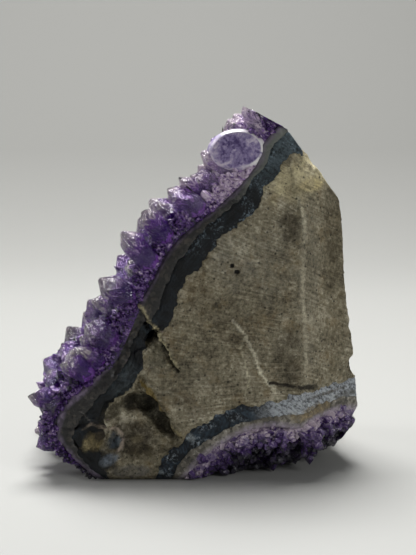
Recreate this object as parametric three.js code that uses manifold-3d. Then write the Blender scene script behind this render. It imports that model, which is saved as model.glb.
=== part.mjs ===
// Amethyst cluster: a sawn and ground piece of a geode that stands on a flat cut.
// Grey-brown basalt is lined by a dark blue agate band, a grey quartz layer and amethyst points on one slope.
// A second, smaller pocket of amethyst opens low in the front, with its own agate and quartz lining.
// Millimetres, +Z up, +X to the right and +Y away from the ground front face. The cut base is at Z = 0.

import * as THREE from "three";
import { ConvexGeometry } from "three/addons/geometries/ConvexGeometry.js";
import { mergeVertices } from "three/addons/utils/BufferGeometryUtils.js";
import Module from "manifold-3d";

const wasm = await Module();
wasm.setup();

// Driving dimensions
const RANDOM_SEED = 11;
const GAP = 0.3; // clearance between neighbouring solids
const SLIVER = 0.05; // edges shorter than this are closed up
const BLANK = [124, 80, 124]; // the stone before it is sawn
const CUTTER = 260; // side of the boxes that saw it
const STOCK_DEPTH = 96; // depth of the layered stock along Y
const STOCK_STEPS = 6; // bends of a layer along Y
const CURVE_POINTS = 24; // points along a layer's outline
const BASE_DEPTH_FRONT = -31; // Y of the front face at the base
const BASE_DEPTH_BACK = 33; // Y of the back at the base
const FRONT_LEAN = THREE.MathUtils.degToRad(8);
const FRONT_SLOPE = Math.tan(FRONT_LEAN);

// Ground faces: a point on the face, and the direction that it looks in
const FRONT_FACE = {
  point: [0, BASE_DEPTH_FRONT, 0],
  normal: [0, -1, FRONT_SLOPE],
};
const RIGHT_FACE = {
  point: [33.2, BASE_DEPTH_FRONT, 0],
  normal: [0.704, -0.704, 0.099],
};
const BEVEL_FACE = { point: [28.8, -16.8, 101.4], normal: [0.676, -0.678, 0.289] };
const TOP_FACE = { point: [14, -8, 113.9], normal: [0.46, 0.2, 0.88] };
const SHOULDER_FACE = { point: [34, -11.9, 100.7], normal: [0.75, 0.22, 0.625] };
const BASE_FACE = { point: [0, 0, 0], normal: [0, 0, -1] };
const UNDERCUT_FACE = { point: [17, -29, 0], normal: [0.4, -0.25, -0.88] };
const RIM_FACE = { point: [48.5, -14, 11.5], normal: [0.82, 0.05, -0.57] };

// Broken faces, which are rough: the amplitude is the height of their lumps
const SIDE_FACE = {
  point: [49.6, -8.4, 45],
  normal: [0.93, 0.35, 0.08],
  amplitude: 1.6,
};
const BACK_FACE = {
  point: [0, BASE_DEPTH_BACK, 0],
  normal: [0.05, 0.97, 0.24],
  amplitude: 2.6,
};
const ROUGH_CELLS = 28; // cells along a rough cutter
const ROUGH_WAVE = 17; // width of a lump

// Outlines of the layers on the front face, from the top down: X and Z
const CRYSTAL_ROOT_LINE = [
  [31, 112], [26, 107.6], [21.8, 103], [20.6, 97.5], [16.3, 92], [10.2, 86.3], [4.1, 81],
  [-3.2, 75.4], [-8.8, 68.5], [-12.8, 60.4], [-16.6, 53.5], [-20.6, 44.5], [-24.5, 36.5],
  [-32, 29], [-39.6, 22.6], [-41.8, 15.5], [-40, 11], [-36.2, 7], [-32, 3.6], [-28.6, 0.4],
  [-26, -5], [-26, -14],
];
const QUARTZ_LINE = [
  [34, 110], [28.6, 106.4], [24.7, 103.3], [23, 98], [19.4, 92.3], [14.8, 87.4], [9.3, 82.2],
  [2.5, 76.2], [-3.6, 69], [-8.2, 60.4], [-12.2, 52], [-16.6, 42.4], [-20.2, 35.4],
  [-25.5, 28], [-32, 22.5], [-36.4, 16.5], [-37, 12], [-34.4, 8], [-30.8, 4.4], [-27.2, 0.6],
  [-24.4, -5], [-24.4, -14],
];
const AGATE_LINE = [
  [44, 96], [36, 98.8], [29.2, 101.2], [26.9, 97.5], [25.2, 92], [21.2, 86], [14.8, 79.8],
  [7.1, 71.8], [0, 64.8], [-5.1, 55.9], [-9.2, 47.6], [-13, 39.6], [-16.4, 32.6],
  [-22, 25.6], [-28.8, 19.6], [-29.4, 13], [-28.2, 7], [-26.2, 0], [-22.6, -5], [-22.6, -14],
];
const STOCK_FAR = [
  [-95, -14],
  [-95, 150],
  [60, 150],
]; // corners that close a layer's outline on the open side of the slope
const SLOPE_NORMAL = new THREE.Vector3(-0.826, 0, 0.565);
const HOLLOW_DEPTH = 2.2; // how far the lined slope is dished between front and back
const BULGE = { height: 2.6, rise: [10, 24], fall: [42, 62] }; // its lower half bulges, between these Z
const LAYER_WAVE = 14; // length of a layer's ripples
const LAYER_RIPPLE = 1.3;

// Outlines of the pocket's mouth, from left to right: X and Z
const POCKET_CRYSTAL_LINE = [
  [-3.2, 0], [2.5, 6.9], [10.3, 12.6], [18, 16.4], [26, 17.4], [33.4, 16.4], [39.6, 18.2],
  [45.7, 18.8], [52, 17.4],
];
const POCKET_QUARTZ_LINE = [
  [-6.6, 0], [-3.4, 7.2], [2.7, 12], [10.3, 16.5], [18, 19.2], [25.7, 20.5], [33, 21],
  [41, 22.6], [54, 21.4],
];
const POCKET_AGATE_LINE = [
  [-11.6, 0], [-7.6, 9.4], [-1.6, 14.2], [3.6, 17.8], [10.6, 21.4], [18, 23.9], [26, 25.4],
  [36, 28], [45, 28.4], [54, 27.4],
];
const POCKET_DEPTHS = { crystal: 11, quartz: 13.4, agate: 18 };
const POCKET_TURN_X = 33.2; // where the mouth turns with the right face
const POCKET_LIP = 2; // how far the mouth's rim stands behind the front face at the base
const POCKET_MIDDLE_X = 22;
const POCKET_NARROWING = 0.3; // how much narrower the pocket is at its back
const POCKET_BACK = 0.97; // where its lining closes, as a share of its depth
const POCKET_STATIONS = 4;
const POCKET_CORNERS = 14;
const POCKET_MARGIN = 14; // how far the cutting solid stands out in front and below

// Chips out of the broken lower left corner: X, Z and depth under the front face
const UPPER_CHIP = [
  [-16.6, 56, 0], [-3.2, 33.2, 0], [-14.6, 34.4, 0], [-31, 28, 0], [-50, 30, 0.5], [-44, 52, 0.5],
  [-16.8, 54, 1.6], [-11.6, 44.6, 3], [-30, 46, 2.2], [-33, 33, 1.4],
];
const LOWER_CHIP = [
  [-15.2, 34.2, 0], [-3.2, 13.6, 0], [-8.2, 7.6, 0], [-26, 11, 0], [-31, 19, 0], [-22.4, 27, 0],
  [-16.8, 29, 6.6], [-7.6, 15.2, 4.4], [-23, 19, 4.6],
];

// Amethyst points
const SLOPE_POINTS = {
  spacing: 8.9,
  radius: [4.2, 6],
  rise: [6.6, 10.2], // height of the tip over the crust, less the pyramid's slope
  root: 4,
  edgeRoot: 1.4, // thickness of the crust where it turns under the lower left corner
  start: 7, // first row, from the end of the outline that lies past the top face
  end: 35, // last row, from the other end
  lean: 0.7, // range of the random tilt
  fan: 0.8, // how far the points at the front edge lean towards the front
  fanReach: 13,
  cornerShare: 0.72, // height of the points at the lower left corner, as a share of the others'
};
// More of the slope's points, at the apex and the lower left: along the outline, behind the front face
const PLACED_POINTS = [
  { along: 11, behind: 3.4, axis: [-0.42, -0.12, 0.9], radius: 4.2, height: 11 },
  { along: 7, behind: 10, axis: [-0.25, 0, 0.95], radius: 4.2, height: 9 },
  { along: 15, behind: 12, axis: [-0.6, 0.1, 0.8], radius: 5, height: 12 },
  { along: 104, behind: 6, axis: [-0.93, -0.2, 0.3], radius: 5, height: 9.6 },
  { along: 116, behind: 4, axis: [-0.9, -0.3, 0.3], radius: 4.6, height: 9 },
  { along: 26, behind: 8, axis: [-0.84, -0.1, 0.54], radius: 4.8, height: 12 },
  { along: 33, behind: 5, axis: [-0.84, -0.15, 0.54], radius: 4.6, height: 12.4 },
];
const POCKET_POINTS = {
  columns: 9,
  rows: 3,
  radius: [2, 3],
  rise: [1.8, 4.2],
  root: 2,
  lean: 0.8,
};
const TIP_PER_RADIUS = 1.12; // height of the pyramid over the radius of its foot
const CRYSTAL_SETBACK = 0.9; // how far the broken crystal roots stand back from the front face
const CRYSTAL_CLEARANCE = 0.6; // lowest crystal above the base
const POLISHED_PATCH = { centre: [13.7, -14.6, 100.4], radii: [10.4, 4.4, 7.5], turn: -0.42 };
const POLISHED_MARGIN = 4; // how far round the patch the points are ground away

// Colours
const BASALT = { color: 0x5b564a, roughness: 0.85, metalness: 0 };
const AGATE = { color: 0x1c2429, roughness: 0.35, metalness: 0 };
const QUARTZ = { color: 0x45423f, roughness: 0.5, metalness: 0 };
const AMETHYST = { color: 0x5a3d86, roughness: 0.15, metalness: 0 };
const POCKET_RIND = { color: 0x827b68, roughness: 0.6, metalness: 0 };

// Repeatable random numbers from 0 to 1
function seededRandom(seed) {
  const MULTIPLIER = 1664525;
  const INCREMENT = 1013904223;
  const RANGE = 4294967296;
  let state = seed;
  return () => {
    state = (MULTIPLIER * state + INCREMENT) % RANGE;
    return state / RANGE;
  };
}

// Smooth random field from -1 to 1, made of a few crossed waves
function ripple(x, y, z) {
  return (
    (Math.sin(x + 1.7 * Math.sin(0.61 * y + 0.4) + 0.3 * z) +
      Math.sin(1.13 * y - 1.4 * Math.sin(0.53 * z + 1.1) + 2.1) +
      Math.sin(0.87 * z + 1.2 * Math.sin(0.71 * x - 0.6) - 0.9)) /
    3
  );
}

// Solids from three.js geometry and back
function toSolid(geometry) {
  const bare = geometry.clone();
  bare.deleteAttribute("normal");
  bare.deleteAttribute("uv");
  const merged = mergeVertices(bare, 1e-4);
  const kept = [];
  const index = merged.index.array;
  for (let i = 0; i < index.length; i += 3) {
    const [a, b, c] = [index[i], index[i + 1], index[i + 2]];
    if (a !== b && b !== c && c !== a) kept.push(a, b, c);
  }
  return new wasm.Manifold(
    new wasm.Mesh({
      numProp: 3,
      vertProperties: merged.attributes.position.array,
      triVerts: new Uint32Array(kept),
    }),
  );
}

// The largest of a solid's bodies: what a cut leaves loose falls away, and enclosed hollows are filled
function mainBody(solid) {
  return solid.decompose().reduce((best, body) => (body.volume() > best.volume() ? body : best));
}

function toMesh(name, solid, look) {
  const kept = mainBody(mainBody(solid).simplify(SLIVER));
  const { numProp, vertProperties, triVerts, numVert } = kept.getMesh();
  const positions = new Float32Array(numVert * 3);
  for (let i = 0; i < numVert; i++) {
    positions.set(vertProperties.subarray(i * numProp, i * numProp + 3), i * 3);
  }
  const geometry = new THREE.BufferGeometry();
  geometry.setAttribute("position", new THREE.BufferAttribute(positions, 3));
  geometry.setIndex(new THREE.BufferAttribute(triVerts, 1));
  geometry.computeVertexNormals();
  const mesh = new THREE.Mesh(
    geometry,
    new THREE.MeshStandardMaterial({ ...look, flatShading: true }),
  );
  mesh.name = name;
  return mesh;
}

// The part of space in front of a face, as a box that stands on it; rough faces get lumps
function beyondFace({ point, normal, amplitude = 0 }) {
  const cells = amplitude > 0 ? ROUGH_CELLS : 1;
  const box = new THREE.BoxGeometry(CUTTER, CUTTER, CUTTER, cells, cells, 1);
  const spots = box.attributes.position;
  for (let i = 0; i < spots.count; i++) {
    if (spots.getZ(i) > 0) continue;
    const lump = ripple(
      (spots.getX(i) * 2) / ROUGH_WAVE,
      (spots.getY(i) * 2) / ROUGH_WAVE,
      (spots.getX(i) + spots.getY(i)) / ROUGH_WAVE,
    );
    spots.setZ(i, spots.getZ(i) + amplitude * lump);
  }
  const direction = new THREE.Vector3(...normal).normalize();
  box.translate(0, 0, CUTTER / 2);
  box.applyQuaternion(
    new THREE.Quaternion().setFromUnitVectors(new THREE.Vector3(0, 0, 1), direction),
  );
  box.translate(...point);
  return toSolid(box);
}

// The blank, cut down to the ground and broken faces; setback moves the front face into the stone
function sawnBlock(setback = 0) {
  const blank = new THREE.BoxGeometry(...BLANK);
  blank.translate(0, 0, BLANK[2] / 2 - 1);
  const front = {
    ...FRONT_FACE,
    point: [0, BASE_DEPTH_FRONT + setback, 0],
  };
  return [
    front,
    RIGHT_FACE,
    BEVEL_FACE,
    TOP_FACE,
    SHOULDER_FACE,
    BASE_FACE,
    UNDERCUT_FACE,
    RIM_FACE,
    SIDE_FACE,
    BACK_FACE,
  ].reduce((solid, face) => solid.subtract(beyondFace(face)), toSolid(blank));
}

// A smooth line in the XZ plane through the given points, moved sideways by shift
function smoothLine(points, shift = () => 0) {
  const curve = new THREE.CatmullRomCurve3(
    points.map(([x, z]) => new THREE.Vector3(x, 0, z)),
    false,
    "centripetal",
  );
  return Array.from({ length: CURVE_POINTS + 1 }, (_, i) => {
    const at = i / CURVE_POINTS;
    const along = curve.getTangentAt(at);
    const outward = new THREE.Vector3(along.z, 0, -along.x);
    return curve.getPointAt(at).addScaledVector(outward, shift(at));
  });
}

// Y of the front face and of the back at a height
const faceDepth = (z) => BASE_DEPTH_FRONT + FRONT_SLOPE * z;
const backDepth = (z) => BASE_DEPTH_BACK - (BACK_FACE.normal[2] / BACK_FACE.normal[1]) * z;

// How far a layer is dished, bulged and rippled, along the slope's normal; on the front face it isn't
function layerBend(x, y, z) {
  const { smoothstep } = THREE.MathUtils;
  const behind = y - faceDepth(z);
  const across = THREE.MathUtils.clamp(behind / (backDepth(z) - faceDepth(z)), 0, 1);
  const bulged = smoothstep(z, ...BULGE.rise) * (1 - smoothstep(z, ...BULGE.fall));
  const dish = (bulged * (HOLLOW_DEPTH + BULGE.height) - HOLLOW_DEPTH) * Math.sin(Math.PI * across);
  const waves = ripple(x / LAYER_WAVE, (2 * y) / LAYER_WAVE, z / LAYER_WAVE);
  return dish + LAYER_RIPPLE * waves * smoothstep(across, 0, 0.4);
}

// Everything on the open side of a layer's outline, which shift moves towards that side
function openSideOf(outline, shift) {
  const shape = new THREE.Shape(
    [...smoothLine(outline, shift).map((p) => [p.x, p.z]), ...STOCK_FAR].map(
      ([x, z]) => new THREE.Vector2(x, z),
    ),
  );
  const stock = new THREE.ExtrudeGeometry(shape, {
    depth: STOCK_DEPTH,
    steps: STOCK_STEPS,
    bevelEnabled: false,
  });
  stock.rotateX(Math.PI / 2);
  stock.translate(0, STOCK_DEPTH / 2, 0);
  const spots = stock.attributes.position;
  const spot = new THREE.Vector3();
  for (let i = 0; i < spots.count; i++) {
    spot.fromBufferAttribute(spots, i);
    spot.addScaledVector(SLOPE_NORMAL, layerBend(spot.x, spot.y, spot.z));
    spots.setXYZ(i, spot.x, spot.y, spot.z);
  }
  return toSolid(stock);
}

// Y of the pocket's mouth: it follows the front face, and then the right face
function mouthDepth(x) {
  return BASE_DEPTH_FRONT + POCKET_LIP + Math.max(0, x - POCKET_TURN_X);
}

// A place on the pocket's wall: along is 0 to 1 from left to right, inward 0 to 1 from mouth to back
function pocketPlace(outline, depth, along, inward) {
  const mouth = new THREE.CatmullRomCurve3(
    outline.map(([x, z]) => new THREE.Vector3(x, 0, z)),
    false,
    "centripetal",
  ).getPointAt(along);
  const height = Math.sqrt(Math.max(0, 1 - inward * inward));
  const width = 1 - POCKET_NARROWING * inward * inward;
  const x = POCKET_MIDDLE_X + (mouth.x - POCKET_MIDDLE_X) * width;
  return new THREE.Vector3(x, mouthDepth(mouth.x) + depth * inward, mouth.z * height);
}

// Triangles that fill a ring seen along Y, all turned the way that the ring runs
function fillRing(ring) {
  const flat = ring.map((p) => new THREE.Vector2(p.x, p.z));
  const sense = Math.sign(THREE.ShapeUtils.area(flat));
  return THREE.ShapeUtils.triangulateShape(flat, []).map(([a, b, c]) => {
    const same = Math.sign(THREE.ShapeUtils.area([flat[a], flat[b], flat[c]])) === sense;
    return same ? [a, b, c] : [a, c, b];
  });
}

// A closed solid through rings that have the same number of corners
function loft(rings) {
  const corners = rings[0].length;
  const triangles = [];
  for (let r = 0; r + 1 < rings.length; r++) {
    for (let c = 0; c < corners; c++) {
      const next = (c + 1) % corners;
      const [a, b] = [rings[r][c], rings[r][next]];
      const [d, e] = [rings[r + 1][c], rings[r + 1][next]];
      triangles.push(a, d, b, b, d, e);
    }
  }
  const first = rings[0];
  const last = rings[rings.length - 1];
  for (const [a, b, c] of fillRing(first)) triangles.push(first[a], first[b], first[c]);
  for (const [a, b, c] of fillRing(last)) triangles.push(last[c], last[b], last[a]);
  const solid = toSolid(new THREE.BufferGeometry().setFromPoints(triangles));
  if (solid.volume() > 0) return solid;
  return toSolid(new THREE.BufferGeometry().setFromPoints(triangles.reverse()));
}

// The space inside one of the pocket's outlines; shift makes it smaller
function pocketSpace(outline, depth, shift = 0) {
  const inset = outline.map(([x, z], i) => {
    const side = i < outline.length / 4 ? shift : 0;
    return [x + side, z - shift];
  });
  const rings = [];
  for (let station = -1; station <= POCKET_STATIONS; station++) {
    const inward = Math.max(0, station / POCKET_STATIONS) * POCKET_BACK;
    const ahead = station < 0 ? -POCKET_MARGIN : 0;
    const arch = Array.from({ length: POCKET_CORNERS + 1 }, (_, i) => {
      const place = pocketPlace(inset, depth - shift, i / POCKET_CORNERS, inward);
      return place.setY(place.y + ahead);
    });
    const left = arch[0].clone().setZ(-POCKET_MARGIN);
    const right = arch[POCKET_CORNERS].clone().setZ(-POCKET_MARGIN);
    rings.push([...arch, right, left]);
  }
  return loft(rings);
}

// One quartz point along +Z: a root that widens through the crust, a six-sided prism and a pyramid
function quartzPoint({ radius, root, rise }, random) {
  const ROOT_WIDTH = 0.15;
  const tip = radius * TIP_PER_RADIUS;
  const profile = [
    [0, 0],
    [radius * ROOT_WIDTH, 0],
    [radius, root],
    [radius, root + rise],
    [0, root + rise + tip],
  ].map(([r, z]) => new THREE.Vector2(r, z));
  const point = new THREE.LatheGeometry(profile, 6, random() * Math.PI);
  point.rotateX(Math.PI / 2);
  const SLANT = 0.5;
  const slant = [(random() - 0.5) * SLANT * radius, (random() - 0.5) * SLANT * radius];
  const widths = [0.85 + 0.3 * random(), 0.85 + 0.3 * random()];
  const spots = point.attributes.position;
  for (let i = 0; i < spots.count; i++) {
    const z = spots.getZ(i);
    const isTip = z > root + rise + tip / 2;
    const x = spots.getX(i) * widths[0] + (isTip ? slant[0] : 0);
    const y = spots.getY(i) * widths[1] + (isTip ? slant[1] : 0);
    spots.setXYZ(i, x, y, z);
  }
  return point;
}

// A quartz point on a wall: its root starts in the crust, long enough for a leaning prism to clear it
function standingPoint({ place, outward, axis, radius, crust, rise }, random) {
  const CLEARANCE = 0.5;
  const START = 0.4; // share of the crust's thickness
  const WIDEST = 1.15; // the widest prism, as a share of its radius
  const start = START * crust;
  const upright = axis.dot(outward);
  const leaning = Math.sqrt(Math.max(0, 1 - upright * upright));
  const needed = (CLEARANCE - start + WIDEST * radius * leaning) / upright;
  const root = Math.max(crust - start, needed);
  const point = quartzPoint({ radius, root, rise }, random);
  point.applyQuaternion(
    new THREE.Quaternion().setFromUnitVectors(new THREE.Vector3(0, 0, 1), axis),
  );
  const foot = place.clone().addScaledVector(outward, start);
  point.translate(foot.x, foot.y, foot.z);
  return toSolid(point);
}

// How far the crystals are shortened along the outline, towards the lower left corner
function crystalTaper(at) {
  const { cornerShare } = SLOPE_POINTS;
  const TURN = { start: 0.55, end: 0.76 };
  return THREE.MathUtils.lerp(1, cornerShare, THREE.MathUtils.smoothstep(at, TURN.start, TURN.end));
}

// The amethyst points of the slope, in rows from the top down and from front to back
function slopePoints(random) {
  const { spacing, radius, rise, root, lean, fan, fanReach, start, end } = SLOPE_POINTS;
  const JITTER = 0.5; // share of the spacing
  const STAGGER = 0.42;
  const FIRST = 0.42; // first point's distance from the front face, as a share of the spacing
  const BACK_MARGIN = 0.6; // last point's distance from the back, as a share of its radius
  const curve = new THREE.CatmullRomCurve3(
    CRYSTAL_ROOT_LINE.map(([x, z]) => new THREE.Vector3(x, 0, z)),
    false,
    "centripetal",
  );
  const length = curve.getLength();
  const reach = length - end - start;
  const rows = Math.round(reach / spacing);
  const solids = [];
  for (let row = 0; row <= rows; row++) {
    const level = curve.getPointAt((start + (reach * row) / rows) / length).z;
    const first = faceDepth(level) + (FIRST + (row % 2 ? STAGGER : 0)) * spacing;
    for (let y = first; y < backDepth(level); y += spacing) {
      const draw = Array.from({ length: 7 }, random);
      const along = start + (reach * row) / rows + (draw[0] - 0.5) * JITTER * spacing;
      const at = along / length;
      const tangent = curve.getTangentAt(at);
      const outward = new THREE.Vector3(tangent.z, 0, -tangent.x);
      const place = curve.getPointAt(at).setY(y + (draw[1] - 0.5) * JITTER * spacing);
      place.addScaledVector(SLOPE_NORMAL, layerBend(place.x, place.y, place.z));
      const size = THREE.MathUtils.lerp(...radius, draw[2]);
      if (place.y > backDepth(place.z) - BACK_MARGIN * size) continue;
      const behind = place.y - faceDepth(place.z);
      const nearFront = Math.max(0, 1 - behind / fanReach);
      const axis = outward
        .clone()
        .add(new THREE.Vector3(0, -fan * nearFront, 0))
        .add(new THREE.Vector3(draw[3] - 0.5, draw[4] - 0.5, draw[5] - 0.5).multiplyScalar(lean))
        .normalize();
      const height = THREE.MathUtils.lerp(...rise, draw[6]) * crystalTaper(at);
      const shape = { radius: size, crust: root, rise: height - size };
      solids.push(standingPoint({ place, outward, axis, ...shape }, random));
    }
  }
  for (const { along, behind, axis: [x, y, z], radius: size, height } of PLACED_POINTS) {
    const tangent = curve.getTangentAt(along / length);
    const outward = new THREE.Vector3(tangent.z, 0, -tangent.x);
    const place = curve.getPointAt(along / length);
    place.setY(faceDepth(place.z) + behind);
    place.addScaledVector(SLOPE_NORMAL, layerBend(place.x, place.y, place.z));
    const axis = new THREE.Vector3(x, y, z).normalize();
    const shape = { radius: size, crust: root, rise: height - size };
    solids.push(standingPoint({ place, outward, axis, ...shape }, random));
  }
  return solids;
}

// The small amethyst points of the pocket, in columns from left to right and rows from mouth to back
function pocketPoints(random) {
  const { columns, rows, radius, rise, root, lean } = POCKET_POINTS;
  const solids = [];
  const STEP = 0.01;
  const SPREAD = 0.5; // range of a point's place in its cell
  const FIRST_ALONG = 0.25;
  const FIRST_INWARD = 0.3;
  for (let column = 0; column < columns; column++) {
    for (let row = 0; row < rows; row++) {
      const draw = Array.from({ length: 7 }, random);
      const along = (column + FIRST_ALONG + SPREAD * draw[0]) / columns;
      const inward = (row + FIRST_INWARD + SPREAD * draw[1]) / rows;
      const spot = (a, b) => pocketPlace(POCKET_CRYSTAL_LINE, POCKET_DEPTHS.crystal, a, b);
      const place = spot(along, inward);
      const acrossWall = spot(along + STEP, inward).sub(spot(along - STEP, inward));
      const inwardWall = spot(along, inward + STEP).sub(spot(along, inward - STEP));
      const outward = acrossWall.cross(inwardWall).normalize();
      if (outward.z > 0 || outward.y > 0.2) outward.negate();
      const axis = outward
        .clone()
        .add(new THREE.Vector3(draw[3] - 0.5, draw[4] - 0.5, draw[5] - 0.5).multiplyScalar(lean))
        .normalize();
      const size = THREE.MathUtils.lerp(...radius, draw[2]);
      const shape = { radius: size, crust: root, rise: THREE.MathUtils.lerp(...rise, draw[6]) };
      solids.push(standingPoint({ place, outward, axis, ...shape }, random));
    }
  }
  return solids;
}

// Thickness of the crystal roots along the outline: full on the slope, thin where it turns under
function crustThickness(at) {
  const { root, edgeRoot } = SLOPE_POINTS;
  const TURN = { start: 0.74, end: 0.86 };
  return THREE.MathUtils.lerp(root, edgeRoot, THREE.MathUtils.smoothstep(at, TURN.start, TURN.end));
}

// A turned ellipsoid
function ellipsoid({ centre, radii, turn }) {
  const ball = new THREE.IcosahedronGeometry(1, 2);
  ball.scale(...radii);
  ball.rotateY(turn);
  ball.translate(...centre);
  return toSolid(ball);
}

// A chip that is missing from the front face
function chip(corners) {
  const STANDING_OUT = 8;
  const spots = corners.flatMap(([x, z, depth]) => [
    new THREE.Vector3(x, faceDepth(z) + depth, z),
    new THREE.Vector3(x, faceDepth(z) - STANDING_OUT, z),
  ]);
  return toSolid(new ConvexGeometry(spots));
}

// The solids
const random = seededRandom(RANDOM_SEED);
const block = sawnBlock();
const outward = () => GAP / 2;
const inward = () => -GAP / 2;
const chipped = block.subtract(chip(UPPER_CHIP)).subtract(chip(LOWER_CHIP));

const pocketAgateSpace = pocketSpace(POCKET_AGATE_LINE, POCKET_DEPTHS.agate);
const pocketQuartzSpace = pocketSpace(POCKET_QUARTZ_LINE, POCKET_DEPTHS.quartz);
const pocketCrystalSpace = pocketSpace(POCKET_CRYSTAL_LINE, POCKET_DEPTHS.crystal);

const basalt = chipped
  .subtract(openSideOf(AGATE_LINE, inward))
  .subtract(pocketAgateSpace);
const agate = chipped
  .intersect(openSideOf(AGATE_LINE, outward))
  .subtract(openSideOf(QUARTZ_LINE, inward));
const quartz = chipped
  .intersect(openSideOf(QUARTZ_LINE, outward))
  .subtract(openSideOf(CRYSTAL_ROOT_LINE, inward));
const pocketAgate = chipped
  .intersect(pocketSpace(POCKET_AGATE_LINE, POCKET_DEPTHS.agate, GAP))
  .subtract(pocketQuartzSpace);
const pocketQuartz = chipped
  .intersect(pocketSpace(POCKET_QUARTZ_LINE, POCKET_DEPTHS.quartz, GAP))
  .subtract(pocketCrystalSpace);

const group = new THREE.Group();
group.add(
  toMesh("basalt_matrix", basalt, BASALT),
  toMesh("blue_agate_band", agate, AGATE),
  toMesh("grey_quartz_layer", quartz, QUARTZ),
  toMesh("pocket_agate_band", pocketAgate, AGATE),
  toMesh("pocket_quartz_layer", pocketQuartz, POCKET_RIND),
);

const crystalBlock = sawnBlock(CRYSTAL_SETBACK);
const crystalSide = openSideOf(CRYSTAL_ROOT_LINE, outward);
const rootCrust = crystalBlock
  .intersect(crystalSide)
  .subtract(openSideOf(CRYSTAL_ROOT_LINE, crustThickness));
const patch = block.intersect(crystalSide).intersect(ellipsoid(POLISHED_PATCH));
const lifted = beyondFace({ point: [0, 0, CRYSTAL_CLEARANCE], normal: [0, 0, -1] });
const polishedAway = ellipsoid({
  ...POLISHED_PATCH,
  radii: POLISHED_PATCH.radii.map((r) => r + POLISHED_MARGIN),
}).intersect(beyondFace(FRONT_FACE));
const points = wasm.Manifold.union(slopePoints(random))
  .intersect(crystalSide)
  .subtract(polishedAway);
const crystals = wasm.Manifold.union([rootCrust, patch, points])
  .subtract(beyondFace(TOP_FACE))
  .subtract(lifted);
group.add(toMesh("amethyst_crystals", crystals, AMETHYST));

const pocketRoom = pocketSpace(POCKET_CRYSTAL_LINE, POCKET_DEPTHS.crystal, GAP);
const pocketCrust = crystalBlock
  .intersect(pocketRoom)
  .subtract(pocketSpace(POCKET_CRYSTAL_LINE, POCKET_DEPTHS.crystal, GAP + POCKET_POINTS.root));
const pocketTips = wasm.Manifold.union(pocketPoints(random)).intersect(pocketRoom);
const pocketCrystals = wasm.Manifold.union([pocketCrust, pocketTips]).subtract(lifted);
group.add(toMesh("pocket_crystals", pocketCrystals, AMETHYST));

export default group;
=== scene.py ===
"""Looks of the amethyst cluster: a sawn piece of a geode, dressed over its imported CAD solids.

Lengths in the code are millimetres, in the CAD frame: +Z up, +X right, +Y away from the ground front face.
"""

from __future__ import annotations

import logging
import math
from dataclasses import dataclass, field
from enum import Enum
from typing import Callable, Iterable, Sequence

import bmesh
import bpy
import numpy as np
from mathutils import Matrix, Vector, noise
from mathutils.bvhtree import BVHTree


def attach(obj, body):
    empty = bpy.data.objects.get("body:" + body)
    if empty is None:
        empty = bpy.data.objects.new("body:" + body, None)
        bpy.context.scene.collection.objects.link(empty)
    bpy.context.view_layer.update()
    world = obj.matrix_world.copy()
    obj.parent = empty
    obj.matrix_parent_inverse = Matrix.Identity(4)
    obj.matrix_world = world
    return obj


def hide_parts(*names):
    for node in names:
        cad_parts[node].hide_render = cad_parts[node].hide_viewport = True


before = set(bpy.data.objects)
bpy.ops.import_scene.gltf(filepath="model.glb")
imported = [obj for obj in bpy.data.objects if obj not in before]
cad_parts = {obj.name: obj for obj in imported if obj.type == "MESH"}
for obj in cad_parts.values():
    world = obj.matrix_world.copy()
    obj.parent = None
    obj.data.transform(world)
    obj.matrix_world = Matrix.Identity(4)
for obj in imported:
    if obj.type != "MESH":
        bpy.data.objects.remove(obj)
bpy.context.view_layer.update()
LOG = logging.getLogger("amethyst_cluster")

MM = 0.001
Line = Sequence[tuple[float, float]]

# Outlines of the layers on the front face, from the top down: X and Z
CRYSTAL_ROOT_LINE: Line = (
    (31, 112), (26, 107.6), (21.8, 103), (20.6, 97.5), (16.3, 92), (10.2, 86.3), (4.1, 81), (-3.2, 75.4),
    (-8.8, 68.5), (-12.8, 60.4), (-16.6, 53.5), (-20.6, 44.5), (-24.5, 36.5), (-32, 29), (-39.6, 22.6),
    (-41.8, 15.5), (-40, 11), (-36.2, 7), (-32, 3.6), (-28.6, 0.4), (-26, -5), (-26, -14),
)
QUARTZ_LINE: Line = (
    (34, 110), (28.6, 106.4), (24.7, 103.3), (23, 98), (19.4, 92.3), (14.8, 87.4), (9.3, 82.2), (2.5, 76.2),
    (-3.6, 69), (-8.2, 60.4), (-12.2, 52), (-16.6, 42.4), (-20.2, 35.4), (-25.5, 28), (-32, 22.5),
    (-36.4, 16.5), (-37, 12), (-34.4, 8), (-30.8, 4.4), (-27.2, 0.6), (-24.4, -5), (-24.4, -14),
)
AGATE_LINE: Line = (
    (44, 96), (36, 98.8), (29.2, 101.2), (26.9, 97.5), (25.2, 92), (21.2, 86), (14.8, 79.8), (7.1, 71.8),
    (0, 64.8), (-5.1, 55.9), (-9.2, 47.6), (-13, 39.6), (-16.4, 32.6), (-22, 25.6), (-28.8, 19.6),
    (-29.4, 13), (-28.2, 7), (-26.2, 0), (-22.6, -5), (-22.6, -14),
)
POCKET_CRYSTAL_LINE: Line = (
    (-3.2, 0), (2.5, 6.9), (10.3, 12.6), (18, 16.4), (26, 17.4), (33.4, 16.4), (39.6, 18.2), (45.7, 18.8), (52, 17.4),
)
POCKET_QUARTZ_LINE: Line = (
    (-6.6, 0), (-3.4, 7.2), (2.7, 12), (10.3, 16.5), (18, 19.2), (25.7, 20.5), (33, 21), (41, 22.6), (54, 21.4),
)
POCKET_AGATE_LINE: Line = (
    (-11.6, 0), (-7.6, 9.4), (-1.6, 14.2), (3.6, 17.8), (10.6, 21.4), (18, 23.9), (26, 25.4), (36, 28), (45, 28.4),
    (54, 27.4),
)
SLOPE_NORMAL = Vector((-0.826, 0, 0.565))
GROWTH_TURN = math.atan2(-SLOPE_NORMAL.z, SLOPE_NORMAL.x)
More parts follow.
